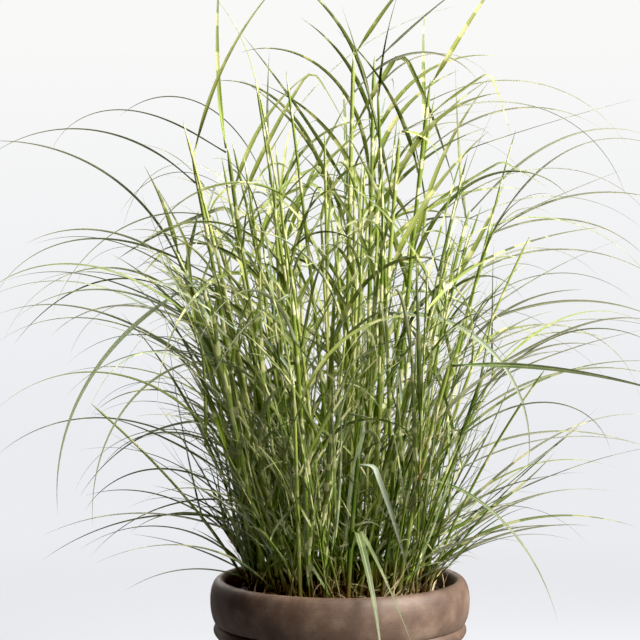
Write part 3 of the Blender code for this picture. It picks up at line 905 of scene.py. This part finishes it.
# %% Where the frame's stems stand
# Foot on the mix (x, y) and top (x, y, z).
STEMS = [
    ((-0.100, 0.010), (-0.174, 0.030, 1.026)), ((-0.125, -0.020), (-0.224, -0.050, 1.011)),
    ((-0.135, 0.030), (-0.250, 0.050, 0.862)), ((-0.110, -0.060), (-0.207, -0.120, 0.823)),
    ((0.005, 0.000), (0.021, 0.020, 1.170)), ((0.040, 0.030), (0.054, 0.080, 1.164)),
    ((0.070, -0.015), (0.136, -0.030, 1.120)), ((0.105, 0.020), (0.239, 0.040, 0.905)),
    ((0.125, -0.030), (0.217, -0.070, 0.685)), ((0.085, -0.085), (0.158, -0.170, 0.700)),
    ((0.010, -0.108), (0.026, -0.138, 0.565)), ((-0.045, -0.090), (-0.071, -0.200, 0.804)),
    ((0.045, -0.055), (0.088, -0.100, 1.045)), ((-0.060, 0.085), (-0.110, 0.210, 0.980)),
    ((0.085, 0.080), (0.213, 0.200, 0.929)), ((0.000, 0.125), (0.000, 0.250, 0.930)),
]
print("Stems of the frame:", len(STEMS))

# %% [markdown]
# A leaf is placed by the stem that it grows on, by the way it heads and by how it bends. One that
# folds over sharply, as a heavy blade does, also has a crease.

# %% How the frame's leaves bend
# Stem, share of its height at the collar, heading (0 is +X, 90 is +Y), angle from upright at the
# collar and at the tip, all in degrees, length and greatest width in millimetres, how late the
# blade bends, how far it rolls about its own length, and where it is creased, if it is.
LEAVES = [
    (1, 0.99, 180, 8, -6, 300, 8.0, 1.0, -80), (1, 0.98, 180, 58, 162, 320, 6.5, 2.1, 40),
    (1, 0.85, 4, 20, 152, 345, 8.2, 1.0, 70, 0.7), (2, 0.99, 0, 12, 46, 310, 7.0, 1.2, 70),
    (2, 0.93, 184, 46, 132, 360, 6.5, 1.2, 40), (2, 0.72, 180, 60, 160, 385, 7.0, 1.65, 45),
    (3, 0.99, 180, 10, 32, 150, 8.5, 1.0, 80), (3, 0.89, 178, 14, 96, 430, 7.0, 1.0, 40),
    (3, 0.05, 180, 38, 126, 290, 6.8, 1.0, 50), (4, 0.99, 184, 118, 186, 430, 9.5, 1.2, 55),
    (4, 0.74, 196, 66, 184, 350, 6.5, 0.6, 40), (4, 0.04, 188, 58, 124, 220, 5.2, 1.0, 40),
    (5, 0.99, 0, 30, 45, 200, 8.0, 1.0, 80), (5, 0.92, -14, 38, 152, 230, 7.0, 1.3, 50),
    (5, 0.85, -4, 26, 166, 370, 9.0, 1.0, 80, 0.365), (5, 0.74, 186, 24, 40, 290, 7.5, 0.5, 60),
    (6, 0.99, 4, 44, 56, 220, 6.0, 1.0, 60), (6, 0.74, 176, 0, 110, 360, 8.5, 1.5, 60),
    (7, 0.99, 2, 28, 38, 240, 8.5, 1.0, 80), (7, 0.93, -8, 50, 166, 220, 7.2, 1.0, 60, 0.5),
    (8, 0.99, 0, 32, 135, 350, 6.2, 1.6, 40), (8, 0.70, -10, 60, 118, 320, 6.5, 1.2, 40),
    (9, 0.99, -2, 60, 112, 280, 7.0, 2.6, 45), (9, 0.26, 6, 64, 42, 230, 7.5, 1.6, 75),
    (9, 0.09, 0, 34, 108, 345, 7.2, 0.75, 50), (10, 0.99, -4, 84, 108, 340, 9.0, 0.8, 65),
    (10, 0.52, -16, 80, 166, 310, 6.8, 0.55, 50), (10, 0.05, -10, 54, 106, 280, 5.5, 2.0, 40),
    (13, 0.33, 198, 10, 184, 250, 10.0, 1.0, 75, 0.1),
    (11, 0.92, -18, 80, 166, 205, 8.8, 0.6, 70, 0.1),
    (11, 0.38, -70, 28, 152, 270, 12.5, 1.2, 0, 0.13),
    (12, 0.99, -150, 100, 152, 200, 10.5, 0.6, 30), (12, 0.85, -112, 35, 160, 400, 7.0, 1.0, 20),
    (12, 0.58, -170, 35, 140, 400, 6.5, 1.2, 30), (13, 0.99, 8, 58, 162, 420, 6.0, 1.2, 40),
    (13, 0.61, -10, 82, 190, 360, 9.0, 0.95, 60), (13, 0.50, -95, 30, 150, 380, 7.5, 1.1, 0),
    (14, 0.94, 142, 22, 122, 430, 7.0, 1.2, 40), (14, 0.60, 112, 35, 140, 440, 6.5, 1.1, 30),
    (15, 0.99, 8, 42, 114, 370, 6.2, 1.6, 40), (16, 0.96, 176, 14, 102, 350, 9.0, 2.0, 60),
    (16, 0.72, 90, 40, 150, 400, 7.0, 1.0, 0),
]
LEAF_DRIFT = math.radians(13)       # most that a leaf's heading wanders
LEAF_TWIST = math.radians(40)       # most that it still turns about its length after its roll
COLLAR_STANDOFF = GAP + 0.00015 + BLADE_THICKNESS / 2


def collar_place(foot, top, share, heading, thickness=1.0):
    """Where a blade starts: on the side of its stem that it heads for."""
    ahead = stem_heading(foot, top, share)
    out = np.array([math.cos(heading), math.sin(heading), 0.0])
    out -= ahead * out.dot(ahead)
    out /= np.linalg.norm(out)
    return stem_point(foot, top, share) + out * (stem_radius(share) * thickness + COLLAR_STANDOFF)


def drawn_leaf(place, leaf, look):
    """The rings of one leaf from a row of the table."""
    stem, share, turn, rise, droop, length, width, bend, roll, *crease = leaf
    heading, length = math.radians(turn), length * MILLIMETRE
    start = collar_place(*STEMS[stem - 1], share, heading)
    path = blade_path(start, heading, rise, droop, length, bend, crease[0] if crease else None,
                      LEAF_DRIFT * math.sin(2.4 * place), math.radians(roll),
                      LEAF_TWIST * math.cos(1.7 * place))
    return blade_tube(path, width * MILLIMETRE, length, look)


print("The frame has", len(STEMS), "stems and", len(LEAVES), "leaves")

# %% [markdown]
# Most leaves take their green by chance. Narrow ones are old and have gone greyish. Their grey is
# painted darker on those that head towards the window and paler on those that head away into the
# shade, as painted light. Some leaves that stand out are given their own tone, and several of
# those are painted light too: paler where the leaf stands in shade, deeper where the window lights
# it. Each stem becomes one piece and its leaves another, so that they can be told apart from the
# rest of the clump.

# %% Dress each stem and its leaves
# By the leaf's number. Those past 42 are in the second table, further down.
# Several of these tones are painted light: paler greens for leaves that stand in shade, deeper
# ones for leaves that the window lights.
OWN_TONES_WITH_PAINTED_LIGHT = {1: 0.6, 3: 0.8, 4: 0.9, 10: 0.1, 12: WAXY_TONE, 18: 0.8, 24: 0.25, 25: 0.25,
             26: 0.129, 27: DEEP_TONE, 29: 0.09, 30: 0.092, 31: 0.129, 32: WAX_PALER_FOR_SHADE_TONE,
             34: WAXY_TONE, 36: WAXY_TONE, 43: 0.129, 44: WAXY_TONE}
NARROW = 7.0                # millimetres: blades up to this width are old ones
# Painted shade: the sheaths of these stems get a deeper green because they stand in shade.
STEMS_WITH_PAINTED_SHADE = (9, 11)      # these stand in the shade of the blades over them


def old_tone_painted_for_light(turn):
    """The grey of an old blade, painted darker when it heads towards the window and paler when it
    heads away into the shade.
    """
    return GREY_DARKENED_IN_LIGHT_TONE if math.cos(math.radians(turn)) > 0.3 else GREY_PALER_FOR_SHADE_TONE


def leaf_look(place, leaf, faint):
    """A leaf's seed, tone and banding. Old and waxy leaves show their bands only faintly."""
    tone, banding = draws.uniform(0.38, 0.85), draws.uniform(0.2, 0.7)
    if leaf[6] <= NARROW:
        tone, banding = old_tone_painted_for_light(leaf[2]), 0.3 * banding
    tone = OWN_TONES_WITH_PAINTED_LIGHT.get(place, tone)
    if tone < DEEP_TONE:
        banding *= faint
    return draws.uniform(), tone, banding


draws = np.random.default_rng(3)
for number, (foot, top) in enumerate(STEMS, start=1):
    own = [(place, leaf) for place, leaf in enumerate(LEAVES, start=1) if leaf[0] == number]
    collars = sorted({leaf[1] for _, leaf in own})
    look = (draws.uniform(), draws.uniform(0.35, 0.8), 1.0)
    # Stems in shade get a deeper sheath green and fainter bands, as painted shade.
    if number in STEMS_WITH_PAINTED_SHADE:
        look = (look[0], 0.12, 0.3)
    add_piece(f"sheathed_stem_{number:02d}",
              join_tubes("stem", [stem_tube(foot, top, collars, look)]),
              SHEATH_FINISH, [f"stem_{number:02d}"])
    blades = [drawn_leaf(place, leaf, leaf_look(place, leaf, 0.1)) for place, leaf in own]
    add_piece(f"blades_of_stem_{number:02d}", join_tubes("blades", blades), BLADE_FINISH,
              [f"leaf_{place:02d}" for place, _ in own])
print("Dressed", len(STEMS), "stems and", len(LEAVES), "leaves")

# %% [markdown]
# ## The rest of the clump
#
# A clump of this size has some hundred stems, and many short young shoots between them. They
# follow rules, so they are drawn at random from a fixed seed: the feet are spread evenly over the
# mix, the outer stems are shorter and lean further out, and the blades alternate from one side of
# a stem to the other. A ready-made plant generator could do as much, but it wouldn't keep to the
# outline of this clump. Here a blade that would leave the reach of the solids, would pass through
# the pot, or would stand out of the clump's dense body is drawn again.

# %% What every blade keeps clear of
RIM_INSIDE, RIM_OUTSIDE = 0.169, 0.210
RIM_CLEARANCE = 0.004
LOWEST = 0.12               # no blade hangs lower than this down the pot's side
REACH = 0.004               # how far inside the solids' box a blade has to stay
FRONT_GAP = np.array([(0.0, -0.25, 0.37), (0.075, -0.095, 0.58)])    # two corners, in metres


def veils(centre):
    """True if a line passes in front of the waxy blades that hang down the clump's front."""
    return bool(((centre > FRONT_GAP[0]) & (centre < FRONT_GAP[1])).all(axis=1).any())


def clears(path):
    """True if a blade stays inside the solids' reach and doesn't pass through the pot."""
    centre = path[0]
    if veils(centre):
        return False
    low, high = np.array(CAD_BOX[0]) + REACH, np.array(CAD_BOX[1]) - REACH
    if (centre < low).any() or (centre > high).any():
        return False
    out = np.hypot(centre[:, 0], centre[:, 1])
    low_down = centre[:, 2] < POT_HEIGHT + RIM_CLEARANCE
    hits_rim = low_down & (out > RIM_INSIDE) & (out < RIM_OUTSIDE)
    sinks = (centre[:, 2] < MIX_TOP) & (out < RIM_OUTSIDE)
    return not (hits_rim | sinks | (centre[:, 2] < LOWEST)).any()


def in_body(path):
    """True if a blade stays in the clump's dense body, which opens out more on the left."""
    centre = path[0]
    out = np.hypot(centre[:, 0], centre[:, 1])
    above = centre[:, 2] - POT_HEIGHT
    # How far the body reaches out at this height on both sides, and under the dome of its top.
    left = np.clip(0.17 + 0.45 * above, 0.15, 0.39)
    right = np.where(above < 0.12, 0.24, np.clip(0.16 + 0.42 * above, 0.20, 0.29))
    side = 0.5 + 0.5 * centre[:, 0] / np.maximum(out, 0.01)
    dome = 0.05 + 1.6 * np.maximum(1.06 + 0.12 * side - 0.15 * side ** 2 - centre[:, 2], 0)
    return bool((out < np.minimum(left + (right - left) * side, dome)).all())


print("The growth stays under", round(CAD_BOX[1][2] - REACH, 3), "m")

# %% [markdown]
# The growth is gathered in seven bunches, one in the middle and six round it, so that no mesh gets
# too heavy. A blade is drawn from a row of rules: for each of its measures the middle, the spread
# and the two limits of a bell curve.

# %% Bunches and the measures of one blade
SECTORS = ["right", "back_right", "back_left", "left", "front_left", "front_right"]
CORE_RADIUS = 0.055         # stems closer to the middle than this form a bunch of their own
growth = {}


def bunch_of(foot):
    """The bunch that a stem belongs to, from where it stands."""
    name = SECTORS[round(math.atan2(foot[1], foot[0]) / math.radians(60)) % 6]
    if math.hypot(*foot) < CORE_RADIUS:
        name = "middle"
    return growth.setdefault(name, {"stems": [], "blades": []})


def bell(middle, spread, low, high):
    """A normal draw, kept between two limits."""
    return float(np.clip(draws.normal(middle, spread), low, high))


def draw_blade(share, rise, droop, size, width, bend, creased=0.0, vigour=1.0):
    """Draw the measures of one blade. creased is the chance that it has a crease."""
    rise = bell(*rise)
    droop = rise + bell(*droop)
    size = bell(*size)
    width = bell(*width) * vigour
    crease = draws.uniform(0.25, 0.7) if creased and draws.uniform() < creased else None
    return share, rise, droop, size, width, bell(*bend), crease


print("Bunches:", ", ".join(["middle"] + SECTORS))

# %% [markdown]
# The feet of the stems lie on a spiral that turns by the golden angle, which spreads any number of
# them evenly. Feet drawn at random would leave bald spots. The heights and the leans are bell
# curves too, and their middle changes from the clump's middle to the rim. The clump isn't the same
# all round: on the right, towards the window, the stems are longer and thinner and the short ones
# lean out more. The green is painted deeper there and paler on the shaded left, as painted light.

# %% A stem with its blades
GROWING_RADIUS = 0.137
GOLDEN_ANGLE = math.radians(137.508)
FULL_HEIGHT = 0.8           # stems shorter than this are pressed outwards on the right
STRAGGLERS = 0.16           # share of the blades that may leave the clump's dense body
WAXY_SHARE, WAXY_LEFT = 0.07, 2.4   # share of waxy blades, and how it grows per metre to the left
PALEST, DEEPEST = 1.0, 0.14         # the tones of the growth's green blades
# Spreads in radians, of the foot's place on the spiral, of the way a stem leans and a blade heads,
# and of the blade's drift, roll and twist:
PLACE_SPREAD, COURSE_SPREAD, HEADING_SPREAD = 0.12, 0.9, 0.35
DRIFT_SPREAD, ROLL_SPREAD, TWIST_SPREAD = 0.25, 0.85, 0.5
OUTWARD_PULL = 0.55         # how much the blades of a stem at the rim turn outwards
LEAN_CARRIED = 0.4          # share of its stem's lean that a blade adds to its own
TRIES = 24                  # how often a blade that is in the way is drawn again
# What changes per metre towards the right, where the light comes from:
TALLER_RIGHT = 0.15         # the stems' length grows by this share
FINER_RIGHT = 2.0           # their thickness shrinks
NARROWER_RIGHT = 1.3        # and the blades' width
# Painted light: the next number makes the green deeper towards the window and paler on the shaded
# left.
PAINTED_DARKER_TOWARDS_LIGHT = 1.3          # the green gets deeper
LEAN_RIGHT = 190            # short stems lean by so many degrees more
FAN_RIGHT = 150             # and their blades too
OPEN_RIGHT = 0.12           # share of the short shoots that are missing on the right


def outward_heading(foot, plane, side, pull):
    """A heading in the stem's own plane, drawn round towards the open side by pull."""
    out = math.atan2(foot[1], foot[0])
    swing = (plane + math.pi * side - out + math.pi) % math.tau - math.pi
    return out + swing * (1 - pull) + draws.normal(0, HEADING_SPREAD)


def grow_stem(place, count, heights, leans, blades, thickness, tone):
    """Draw one stem with its blades and add them to their bunch.

    heights and leans each hold the middle of a bell curve, how it changes towards the rim, its
    spread and its two limits.
    """
    out = GROWING_RADIUS * math.sqrt((place + 0.5) / count)
    bearing = place * GOLDEN_ANGLE + draws.normal(0, PLACE_SPREAD)
    foot = (out * math.cos(bearing), out * math.sin(bearing))
    rim = out / GROWING_RADIUS
    length = bell(heights[0] - heights[1] * rim ** 2, *heights[2:]) * (1 + TALLER_RIGHT * foot[0])
    pressed = max(FULL_HEIGHT - length, 0) * max(foot[0], 0)
    tilt = math.radians(bell(leans[0] + leans[1] * rim, *leans[2:]) + LEAN_RIGHT * pressed)
    course = bearing + draws.normal(0, COURSE_SPREAD)
    thickness = thickness * draws.uniform(0.75, 1.2) * (1 - FINER_RIGHT * max(foot[0], 0))
    top = (foot[0] + length * math.sin(tilt) * math.cos(course),
           foot[1] + length * math.sin(tilt) * math.sin(course),
           MIX_TOP + length * math.cos(tilt))
    thinned = draws.uniform() < OPEN_RIGHT and foot[0] > 0.05 and length < 0.45
    if thinned or veils(stem_point(foot, top, np.linspace(0, 1, 12))):
        return None
    bunch = bunch_of(foot)
    plane = draws.uniform(0, math.tau)
    # Painted shade and light: the green is deeper towards the lit right and paler on the shaded
    # left.
    tone = bell(tone - PAINTED_DARKER_TOWARDS_LIGHT * foot[0], 0.2, DEEPEST, PALEST)
    collars = []
    for number, rules in enumerate(blades(length)):
        straggler = draws.uniform() < STRAGGLERS
        for _ in range(TRIES):
            share, rise, droop, size, width, bend, crease = draw_blade(*rules)
            width *= 1 - NARROWER_RIGHT * foot[0]
            heading = outward_heading(foot, plane, number % 2, OUTWARD_PULL * rim)
            start = collar_place(foot, top, share, heading, thickness)
            rise += math.degrees(tilt) * LEAN_CARRIED + FAN_RIGHT * pressed
            path = blade_path(start, heading, rise, droop, size, bend, crease,
                              draws.normal(0, DRIFT_SPREAD), draws.normal(0, ROLL_SPREAD),
                              draws.normal(0, TWIST_SPREAD))
            if clears(path) and (straggler or in_body(path)):
                break
        else:
            continue
        collars.append(share)
        waxy = draws.uniform() < WAXY_SHARE - WAXY_LEFT * min(foot[0], 0)
        look = (draws.uniform(), WAXY_TONE if waxy else bell(tone, 0.14, DEEPEST, PALEST),
                draws.uniform(0.15, 0.75))
        bunch["blades"].append(blade_tube(path, width, size, look, draws.uniform(1.15, 1.9)))
    look = (draws.uniform(), bell(tone + 0.05, 0.1, 0.1, 0.95), 1.0)
    bunch["stems"].append(stem_tube(foot, top, collars, look, thickness))
    return foot, top, thickness


print("Stems spring from a disc", 2 * GROWING_RADIUS, "m across")

# %% [markdown]
# ## Blades placed one by one
#
# Chance alone would leave gaps where the real clump is full. So some more blades are placed one by
# one on the frame's stems, in the same way as the frame's own leaves.

# %% More blades on the frame's stems
draws = np.random.default_rng(17)
MORE_LEAVES = [
    (11, 0.40, -58, 30, 148, 235, 8.5, 1.0, 0, 0.13),
    (13, 0.14, -10, 20, 178, 110, 7.2, 1.0, 80, 0.15), (11, 0.52, 5, 50, 150, 50, 3.0, 1.0, 60),
    (2, 0.86, 180, 76, 162, 300, 5.0, 0.8, 40), (4, 0.84, 178, 60, 112, 330, 5.6, 2.1, 40),
    (4, 0.68, 182, 54, 114, 370, 5.3, 2.1, 40), (3, 0.32, 182, 48, 78, 250, 6.0, 0.8, 55),
    (4, 0.24, 180, 56, 58, 260, 5.0, 1.0, 50), (2, 0.13, 184, 48, 130, 200, 4.9, 1.1, 50),
    (3, 0.27, 184, 50, 150, 270, 5.0, 1.2, 40), (2, 0.04, 180, 57, 82, 200, 5.4, 1.0, 50),
    (4, 0.45, 186, 50, 160, 300, 4.6, 1.1, 40), (2, 0.50, 190, 24, 36, 220, 11.0, 1.0, 75),
    (7, 0.86, 0, 48, 125, 300, 4.9, 1.2, 40), (7, 0.70, 6, 46, 150, 420, 5.3, 1.5, 40),
    (7, 0.74, -10, 54, 122, 230, 9.0, 1.0, 50, 0.65), (15, 0.88, -6, 56, 140, 330, 5.0, 1.3, 40),
    (15, 0.70, 40, 35, 130, 400, 5.3, 1.1, 30), (8, 0.62, 4, 56, 112, 380, 5.3, 1.0, 40),
    (8, 0.50, -4, 58, 78, 330, 4.9, 1.0, 40), (9, 0.80, 4, 54, 112, 320, 4.9, 1.2, 40),
    (9, 0.60, -4, 56, 118, 330, 5.3, 0.9, 50), (9, 0.55, -12, 60, 104, 300, 5.3, 1.2, 40),
    (15, 0.55, 0, 50, 170, 420, 4.9, 1.5, 40), (15, 0.80, 0, 34, 20, 180, 10.0, 1.0, 80),
    (6, 0.93, 8, 30, 135, 210, 4.9, 1.1, 50), (14, 0.98, 180, 4, -4, 220, 6.2, 1.0, 70),
    (14, 0.80, 10, 18, 30, 300, 7.5, 1.0, 70), (16, 0.85, 10, 22, 60, 300, 7.5, 1.2, 70),
    (13, 0.99, 0, 85, 175, 80, 8.0, 1.0, 50), (13, 0.85, 170, 10, 20, 300, 6.5, 1.0, 80),
    (15, 0.97, 190, 6, 2, 250, 7.0, 1.0, 80), (6, 0.78, 10, 10, 70, 220, 9.5, 1.0, 80),
    (6, 0.70, 170, 12, 70, 280, 9.5, 1.1, -80), (13, 0.88, -10, 12, 85, 220, 9.0, 1.0, 80),
    (13, 0.70, 10, 20, 50, 260, 9.5, 1.0, 80), (13, 0.60, 175, 6, 50, 300, 9.0, 1.0, -75),
    (5, 0.62, -8, 22, 75, 300, 9.5, 1.1, 80), (7, 0.60, 182, 10, 35, 280, 9.5, 1.0, 75),
    (16, 0.92, -60, 12, 70, 300, 9.0, 1.1, 70), (16, 0.78, 20, 25, 85, 300, 9.0, 1.0, 70),
    (6, 0.60, 8, 28, 100, 300, 8.5, 1.0, 70), (9, 0.84, 4, 26, 104, 230, 5.2, 1.0, 50),
    (7, 0.96, 0, 62, 150, 340, 4.6, 1.1, 40), (15, 0.97, -4, 62, 130, 300, 4.6, 1.2, 40),
    (15, 0.78, -8, 50, 125, 360, 4.7, 1.0, 45), (8, 0.97, 2, 50, 112, 300, 4.6, 1.0, 45),
    (15, 0.60, -4, 44, 72, 360, 4.6, 1.0, 45), (8, 0.99, 4, 62, 70, 220, 4.6, 1.0, 45),
    (10, 0.74, 10, 34, 92, 250, 5.2, 1.0, 60), (8, 0.62, -6, 28, 92, 240, 5.8, 1.0, 60),
    (16, 0.95, 10, 12, 80, 200, 8.5, 1.0, 70), (8, 0.52, 10, 26, 84, 240, 5.4, 1.1, 55),
    (14, 0.85, 20, 25, 60, 280, 8.5, 1.0, 70), (14, 0.92, -10, 12, 100, 250, 8.0, 1.2, 60),
    (6, 0.88, -170, 12, 60, 200, 8.5, 1.0, 70), (6, 0.84, 12, 20, 100, 260, 8.0, 1.2, 60),
    (3, 0.95, 182, 52, 120, 260, 4.9, 1.3, 40), (4, 0.95, 176, 48, 110, 280, 4.7, 1.4, 40),
    (3, 0.80, 186, 50, 120, 280, 4.7, 1.4, 40), (4, 0.80, 190, 46, 130, 330, 4.9, 1.3, 40),
    (3, 0.12, 182, 44, 110, 280, 4.7, 1.3, 45), (2, 0.16, 190, 40, 100, 300, 4.9, 1.4, 45),
    (9, 0.20, 0, 50, 100, 300, 4.9, 1.3, 45), (10, 0.22, -6, 46, 85, 260, 4.9, 1.4, 50),
    (6, 0.90, 175, 8, 60, 260, 8.5, 1.1, 70), (7, 0.82, 178, 10, 50, 260, 8.5, 1.0, 75),
    (7, 0.66, 10, 8, 40, 300, 9.0, 1.0, 80), (6, 0.66, -5, 14, 60, 320, 9.0, 1.0, 80),
    (5, 0.66, 178, 12, 60, 300, 8.5, 1.1, 80), (1, 0.90, 20, 15, 60, 240, 8.0, 1.1, 75),
    (9, 0.12, 4, 58, 96, 260, 5.2, 1.2, 45), (10, 0.14, -4, 58, 92, 250, 5.4, 1.2, 50),
    (9, 0.16, 0, 46, 84, 240, 5.6, 1.2, 60),
]

for place, leaf in enumerate(MORE_LEAVES, start=len(LEAVES) + 1):
    look = leaf_look(place, leaf, 0.3 if place in OWN_TONES_WITH_PAINTED_LIGHT else 1.0)
    bunch_of(STEMS[leaf[0] - 1][0])["blades"].append(drawn_leaf(place, leaf, look))
print("Placed", len(MORE_LEAVES), "more blades on the frame's stems")

# %% [markdown]
# ## Tall stems and middle shoots
#
# The tall stems carry the widest blades. Most of them sit high up, and the last one stands nearly
# upright out of the top. Shoots that haven't grown their full height fill the middle of the clump.
# Each kind has a function that gives one row of rules for every blade of a stem.

# %% Tall stems and middle shoots
TALL_STEMS, MIDDLE_SHOOTS = 70, 74


def tall_blades(length):
    """The rules for each blade of a tall stem, from the lowest to the last."""
    count = int(2.6 + length * 6.8)
    vigour = draws.uniform(0.5, 1.12)
    rules = []
    for number in range(count):
        last = number == count - 1
        down = 0 if last else (count - number - draws.uniform(0.2, 0.8)) / count
        share = 0.98 - 0.66 * down ** 1.25
        rules.append((share, (6, 6, -6, 20) if last else (22, 9, 2, 55),
                      (72, 30, 15, 135) if last else (84, 32, 10, 145),
                      (0.25 if last else 0.33, 0.07, 0.14, 0.47),
                      (0.0096 - 0.0024 * share, 0.0012, 0.0042, 0.0108),
                      (1.15, 0.25, 0.6, 1.9), 0.08, vigour))
    return rules


def middle_blades(_):
    """The rules for each blade of a shoot that hasn't grown its full height."""
    count = int(draws.integers(4, 6))
    return [(0.35 + 0.63 * (number + draws.uniform(0.2, 0.8)) / count, (18, 10, 1, 60),
             (62, 30, 8, 135), (0.28, 0.07, 0.12, 0.44), (0.0058, 0.0015, 0.0030, 0.0095),
             (1.2, 0.25, 0.6, 2.0), 0.06) for number in range(count)]


# The tall stems' paler green is painted light on the clump's top, and the middle shoots' deeper
# green is painted shade inside it.
grown = [grow_stem(place, TALL_STEMS, (0.71, 0.25, 0.09, 0.25, 0.80), (2, 12, 4.5, 0, 24),
                   tall_blades, 0.66, 0.56) for place in range(TALL_STEMS)]
grown += [grow_stem(place, MIDDLE_SHOOTS, (0.25, 0, 0.07, 0.12, 0.40), (4, 19, 7.0, 0, 40),
                    middle_blades, 0.50, 0.37) for place in range(MIDDLE_SHOOTS)]
print("Grown so far:", sum(stem is not None for stem in grown), "stems")

# %% [markdown]
# ## Arching blades
#
# Long thin blades spring from the outer stems and arch out of the clump on all sides. Only few of
# them are kept where they would hang over the front and hide it. They start on stems that are
# already there, and they lean out to the clump's open side.

# %% Arching blades
ARCHING_BLADES = 58
OUTER_RADIUS = 0.07         # they spring from stems that stand further out than this
FACING_SHARE = 0.3          # share that is kept of those which would hang over the clump's front
RIGHT_SHARE = 0.7           # and of those on the right

outer = [stem for stem in grown if stem and math.hypot(*stem[0]) > OUTER_RADIUS]
arched = 0
while arched < ARCHING_BLADES:
    foot, top, thickness = outer[int(draws.integers(len(outer)))]
    share = bell(0.82, 0.16, 0.4, 0.99)
    heading = math.atan2(foot[1], foot[0]) + draws.normal(0, 0.4)
    if math.sin(heading) < -0.6 and draws.uniform() > FACING_SHARE:
        continue
    if math.cos(heading) > 0.2 and draws.uniform() > RIGHT_SHARE:
        continue
    size = bell(0.38, 0.06, 0.22, 0.49)
    path = blade_path(collar_place(foot, top, share, heading, thickness), heading,
                      bell(46, 9, 26, 66), bell(140, 18, 95, 172), size, bell(1.4, 0.35, 0.7, 2.3),
                      None, draws.normal(0, 0.3), draws.choice([-1, 1]) * bell(0.7, 0.3, 0, 1.3),
                      draws.normal(0, 0.4))
    if not clears(path):
        continue
    waxy = draws.uniform() < 1.5 * (WAXY_SHARE - WAXY_LEFT * min(foot[0], 0))
    # Old blades take a grey that is painted darker towards the window and paler on the shaded
    # side.
    tone = WAXY_TONE if waxy else draws.choice([old_tone_painted_for_light(math.degrees(heading)),
                                                bell(0.5, 0.2, DEEPEST, 0.95)])
    look = (draws.uniform(), tone, draws.uniform(0.0, 0.5))
    width = bell(0.0047, 0.001, 0.0028, 0.0068)
    bunch_of(foot)["blades"].append(blade_tube(path, width, size, look, draws.uniform(1.2, 1.8)))
    arched += 1
print("Blades that arch out of the clump:", arched)

# %% [markdown]
# ## Young shoots
#
# Between the stems stand many short shoots with thin blades. They close the clump near the pot, so
# that one sees dark green there and not the backdrop; their green is also painted deeper, as shade
# inside the clump. When they are in, each bunch becomes one piece of stems and one of blades.

# %% Young shoots and the bunches
YOUNG_SHOOTS = 160


def young_blades(_):
    """The rules for each blade of a young shoot."""
    return [(bell(0.5 + 0.2 * number, 0.1, 0.2, 0.98), (24, 13, 1, 65), (60, 34, 4, 145),
             (0.24, 0.07, 0.08, 0.42), (0.0040, 0.0010, 0.0022, 0.0064), (1.3, 0.3, 0.7, 2.2))
            for number in range(int(draws.integers(3, 5)))]


# Their deep green is painted shade, for the inside of the clump near the pot.
for place in range(YOUNG_SHOOTS):
    grow_stem(place, YOUNG_SHOOTS, (0.10, 0, 0.05, 0.03, 0.22), (5, 25, 9.0, 0, 48), young_blades,
              0.36, 0.34)

for name, parts in sorted(growth.items()):
    add_piece(f"clump_{name}_stems", join_tubes("stems", parts["stems"]), SHEATH_FINISH)
    add_piece(f"clump_{name}_blades", join_tubes("blades", parts["blades"]), BLADE_FINISH)
    print(f"Bunch {name}: {len(parts['stems'])} stems, {len(parts['blades'])} blades")

# %% [markdown]
# ## Dead straw
#
# Old leaves dry out, curl and stay caught between the stems. Most lie on the mix just inside the
# rim, and a small rusty tuft hangs in the growth on the right. They are blades like the others,
# only narrow, short and bent far past level.

# %% Curls on the mix and in the growth
STRAW_CURLS, STRAW_REACH = 190, 0.163
RUSTY_CURLS, RUSTY_STEM = 14, 10
CURL_STEPS = 18
draws = np.random.default_rng(5)


def curl(start, rise, turn, length, width, tone):
    """One dead leaf that curls over."""
    heading = draws.uniform(0, math.tau)
    path = blade_path(start, heading, rise, rise + turn, length, bell(1.0, 0.3, 0.5, 1.6), None,
                      draws.normal(0, 1.2), 0.0, draws.normal(0, 2.0), CURL_STEPS)
    return path, blade_tube(path, width, length, (draws.uniform(), tone, 0.0))


straw = []
while len(straw) < STRAW_CURLS:
    out, turn = STRAW_REACH * math.sqrt(draws.uniform(0.1, 1)), draws.uniform(0, math.tau)
    start = (out * math.cos(turn), out * math.sin(turn), MIX_TOP + 0.002)
    path, blade = curl(start, bell(45, 25, 0, 85), bell(60, 50, 10, 220),
                       bell(0.07, 0.035, 0.025, 0.18), bell(0.0021, 0.0006, 0.0011, 0.0038),
                       draws.uniform(0.3, 1.0))
    if clears(path):
        straw.append(blade)
rusty = []
for _ in range(RUSTY_CURLS):
    share, turn = draws.uniform(0.5, 0.98), draws.uniform(0, math.tau)
    start = collar_place(*STEMS[RUSTY_STEM - 1], share, turn)
    rusty.append(curl(start, bell(60, 25, 10, 110), bell(170, 60, 40, 320),
                      bell(0.06, 0.02, 0.03, 0.1), bell(0.0019, 0.0004, 0.001, 0.003),
                      draws.uniform(1.0, 1.5))[1])
add_piece("dead_straw", join_tubes("straw", straw + rusty), STRAW_FINISH)
print("Dead leaves:", len(straw), "on the mix and", len(rusty), "in the growth")
